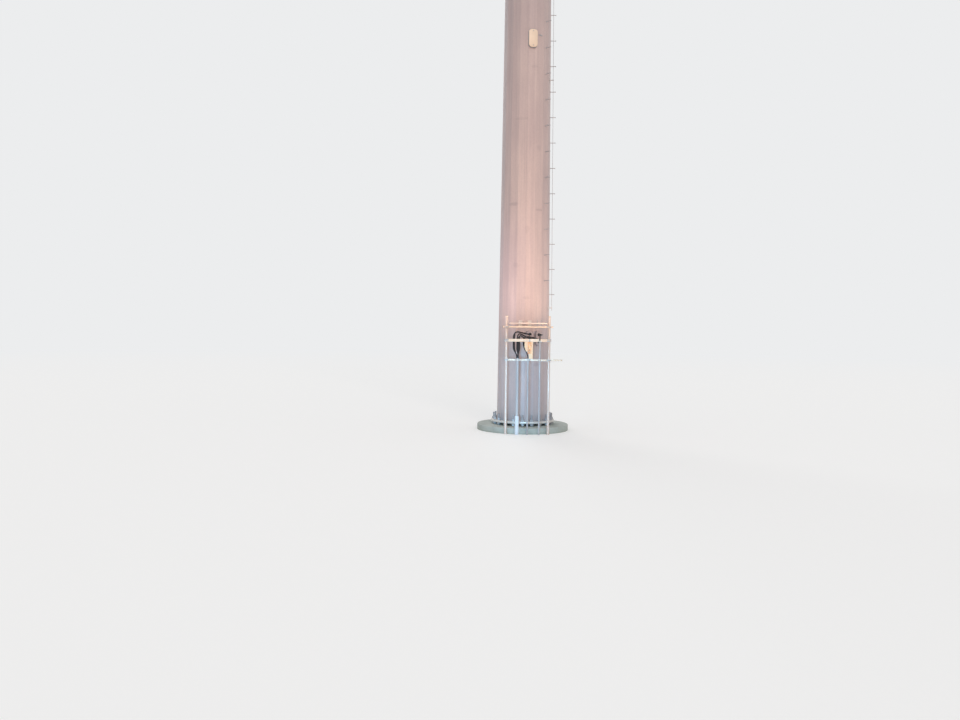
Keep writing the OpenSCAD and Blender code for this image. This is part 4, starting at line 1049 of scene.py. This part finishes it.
PANEL_IN = COLLAR_R + 43
PANEL_OUT = FACE_R - 25
PANEL_TOP = CORNER_Z + 14
REACH = 2 * FACE_R - 243
SIN60 = sin(radians(60))
tip_x = REACH * SIN60 - 1.5
tip_y = REACH * 0.5 + 3 * SIN60
front_x = REACH * SIN60 - (PANEL_OUT - REACH * 0.5) / SIN60 * 0.5
inner_x = (PANEL_IN * SIN60 - 3) / 0.5


def panel_span(x):
    """Where the grating begins and ends, in front of the axis, at a side position."""
    near = PANEL_IN + max(0, abs(x) - inner_x) * (tip_y - PANEL_IN) / (tip_x - inner_x)
    far = PANEL_OUT - max(0, abs(x) - front_x) * (PANEL_OUT - tip_y) / (tip_x - front_x)
    return near, far


def panel_reach(r):
    """How far the grating reaches to each side at a distance in front of the axis."""
    return max(x for x in range(742) if panel_span(x)[0] <= r <= panel_span(x)[1])


right = [(front_x, -PANEL_OUT), (tip_x, -tip_y), (inner_x, -PANEL_IN)]
corners = [(-x, y) for x, y in reversed(right)] + right
panels = Form()
for face in THIRDS:
    turn = turned("Z", face)
    for k in range(-48, 49):
        x = k * 15.2
        near, far = panel_span(x)
        if far - near > 12:
            ends = [(x - 1.3, 2 - far), (x + 1.3, 2 - far), (x + 1.3, -near - 2), (x - 1.3, -near - 2)]
            panels.add(prism(ends, PANEL_TOP - 14, PANEL_TOP), turn)
    r = PANEL_IN + 16
    while r < PANEL_OUT - 8:
        reach = panel_reach(r) - 2
        panels.add(tube([(-reach, -r, PANEL_TOP - 2.6), (reach, -r, PANEL_TOP - 2.6)], 2.4, 6), turn)
        r += 25.4
    for (x, y), (u, v) in zip(corners, corners[1:] + corners[:1]):
        heading = degrees(atan2(v - y, u - x))
        place = turn @ moved((x + u) / 2, (y + v) / 2, PANEL_TOP - 7) @ turned("Z", heading)
        panels.add(box(hypot(u - x, v - y), 3, 14), place)
piece("grating_panels", panels, dull_zinc, ("platform_grating",))

# Antennas, radio units and surge box: bolts, seams, sockets and handles

ANTENNA_LOW = MAST_LOW + 115
ANTENNA_H = 1220
ANTENNA_Y = -(MAST_R + MAST_PIPE + 84)
RADIO_LOW = PLATFORM_Z + 160
RADIO_Y = MAST_PIPE + 0.3 - MAST_R
antenna_bolts = Form()
sockets = Form()
seams = Form()
fittings = Form()


def unit_clamp(turn, x, z):
    """A plate in front of a mast pipe, with the two bolts that hold a unit there."""
    fittings.add(box(66, 6, 22, 1), turn @ moved(x, -MAST_R - 18.4, z))
    for sx in (-26, 26):
        fittings.bolt(turn @ facing(x + sx, -MAST_R - 21.4, z), 8, 4, 3)
        fittings.add(lathe([(2.4, 0), (2.4, 38)], 8), turn @ facing(x + sx, -MAST_R - 18, z, 1))


for face in THIRDS:
    turn = turned("Z", face)
    for x in (MAST_XS[0], MAST_XS[1], MAST_XS[3]):
        for up in (0.12, 0.88):
            z = ANTENNA_LOW + up * ANTENNA_H
            for sx in (-18.6, 18.6):
                for way in (-1, 1):
                    antenna_bolts.bolt(turn @ facing(x + sx, -MAST_R + way * 22.3, z, way), 8, 4, 3)
            for sx in (-23, 23):
                antenna_bolts.bolt(turn @ facing(x + sx, ANTENNA_Y + 50, z, 1), 7, 3.5, 0)
        socket = lathe([(6.3, -17), (7.4, -16.6), (7.4, -9), (6.4, -8.6), (6.4, -6), (9, -5.6), (9, 0.5)], 18)
        for i in range(4):
            sockets.add(socket, turn @ moved(x + (i - 1.5) * 26, ANTENNA_Y, ANTENNA_LOW))
        for level in (14, ANTENNA_H - 14):
            ring = []
            for grow, out in ((-1, -1.4), (0.6, -1.4), (0.6, 1.4), (-1, 1.4)):
                ring.append([(u, v, out) for u, v in rounded(152 + 2 * grow, 84 + 2 * grow, 26 + grow, 6)])
            seams.add(skin(ring, closed=True), turn @ moved(x, ANTENNA_Y, ANTENNA_LOW + level))
    for z in (RADIO_LOW, RAIL_Z + 35):
        x = MAST_XS[1]
        body = RADIO_Y + 37
        for side in (-52, -18, 18, 52):
            socket = lathe([(5, -15), (6.5, -14.6), (6.5, -6), (5.6, -5.6), (8, -5), (8, 0.5)], 16)
            sockets.add(socket, turn @ moved(x + side, body, z))
        arch = [(-34, 0, 236), (-34, 0, 252), (-30, 0, 258), (30, 0, 258), (34, 0, 252), (34, 0, 236)]
        fittings.add(tube(arch, 3.2, 8), turn @ moved(x, body, z))
        for level in (40, 200):
            unit_clamp(turn, x, z + level)
surge_x = MAST_XS[2]
surge_y = RADIO_Y + 76
for z in (RADIO_LOW + 52, RADIO_LOW + 190):
    fittings.add(hoop([(61.6, -8), (63.2, -8), (63.2, 8), (61.6, 8)]), moved(surge_x, surge_y, z))
    fittings.add(box(10, 8, 20, 1), moved(surge_x, surge_y + 66, z))
    unit_clamp(Matrix(), surge_x, z)
for i in range(5):
    a = 2 * pi * i / 5
    socket = lathe([(7, -20), (9, -19.5), (9, -8), (8, -7.5), (11, -7), (11, 0.5)], 18)
    sockets.add(socket, moved(surge_x + 34 * cos(a), surge_y + 34 * sin(a), RADIO_LOW))
piece("antenna_bolts", antenna_bolts, zinc)
piece("cable_sockets", sockets, rubber)
piece("radome_seams", seams, housing)
piece("radio_fittings", fittings, zinc)

# Top: bolts of the cap and of the rod's foot

top_bolts = Form()
for i in range(9):
    top_bolts.bolt(turned("Z", 40 * i + FRONT_FLAT) @ moved(0, -148, SHAFT_TOP + 6), 13, 7, 3)
for i in range(4):
    top_bolts.bolt(turned("Z", 90 * i + 45) @ moved(0, -32, SHAFT_TOP + 12), 9, 5, 2)
piece("top_bolts", top_bolts, dull_zinc)

# Camera at the photograph's place: 11 m in front at eye height, turned a little to the left

camera_data = bpy.data.cameras.new("camera")
camera_data.sensor_width = 36.0
camera_data.lens = 28.125
camera_data.clip_end = 900.0
camera = bpy.data.objects.new("camera", camera_data)
camera.matrix_world = moved(0, -11, 1.325) @ turned("Z", 3.3) @ turned("X", 90 - 1.68) @ turned("Z", 0.66)
scene.collection.objects.link(camera)
scene.camera = camera

# Floor and background: a pale floor that turns into the background's plain colour far away

BACKGROUND = srgb(236, 237, 238)
FADE_START = 9.0
FADE_END = 60.0
FLOOR_R = 400
floor_mesh = bpy.data.meshes.new("floor")
floor_mesh.from_pydata(circle(FLOOR_R, 64), [], [list(range(64))])
floor_mesh.materials.append(bpy.data.materials.new("floor"))
floor = bpy.data.objects.new("floor", floor_mesh)
scene.collection.objects.link(floor)
floor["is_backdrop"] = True

tree = Tree(floor_mesh.materials[0], "OutputMaterial")
seen = tree.seen_directly()
lit = tree.node("BsdfDiffuse", {0: srgb(233, 231, 227)})
glow = tree.node("Emission", {0: BACKGROUND, 1: tree.times(seen, 0.28)})
near = tree.node("AddShader", {0: lit.outputs[0], 1: glow.outputs[0]})
far = tree.node("Emission", {0: BACKGROUND, 1: seen})
place = tree.node("TexCoord").outputs["Object"]
distance = tree.node("VectorMath", {0: place}, operation="LENGTH").outputs["Value"]
fade = tree.span(distance, FADE_START, FADE_END)
tree.end(tree.node("MixShader", {0: fade, 1: near.outputs[0], 2: far.outputs[0]}))

scene.world = bpy.data.worlds.new("studio")
tree = Tree(scene.world, "OutputWorld")
soft = tree.node("Background", {0: (0.89, 0.91, 0.95, 1.0), 1: 0.68})
plain = tree.node("Background", {0: BACKGROUND})
tree.end(tree.node("MixShader", {0: tree.seen_directly(), 1: soft.outputs[0], 2: plain.outputs[0]}))


def lamp(name, kind, power, colour, place, height, **settings):
    """A lamp that looks from its place at a height on the axis, and doesn't show itself."""
    data = bpy.data.lights.new(name, kind)
    data.energy = power
    data.color = colour
    for key, value in settings.items():
        setattr(data, key, value)
    made = bpy.data.objects.new(name, data)
    made.location = place
    made.rotation_euler = (Vector((0, 0, height)) - Vector(place)).to_track_quat("-Z", "Y").to_euler()
    made.visible_camera = False
    scene.collection.objects.link(made)


lamp("sun", "SUN", 0.5, (1.0, 0.93, 0.88), (8, -30, 16), 0, angle=0.35)
lamp("back_light", "SUN", 0.6, (0.96, 0.98, 1.0), (-14, 30, 16), 0, angle=0.6)
# Name, power, colour, place, height that it looks at, width in degrees, blend and softness
SPOTS = (
    ("key", 660, (1.0, 0.62, 0.40), (1.4, -6.2, 1.62), 5.4, 67, 0.12, 0.45),
    ("left_wash", 64, (1.0, 0.80, 0.88), (-1.7, -1.5, 1.5), 2.3, 52, 0.9, 0.3),
    ("right_wash", 54, (1.0, 0.76, 0.62), (2.0, -1.2, 1.5), 2.3, 52, 0.9, 0.3),
    ("low_fill", 720, (0.26, 0.65, 1.0), (-0.4, -6.0, 0.62), 0.58, 15, 0.3, 0.3),
)
for name, power, colour, place, height, width, blend, size in SPOTS:
    lamp(name, "SPOT", power, colour, place, height,
         spot_size=radians(width), spot_blend=blend, shadow_soft_size=size)

scene.view_settings.view_transform = "Standard"

low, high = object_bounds()
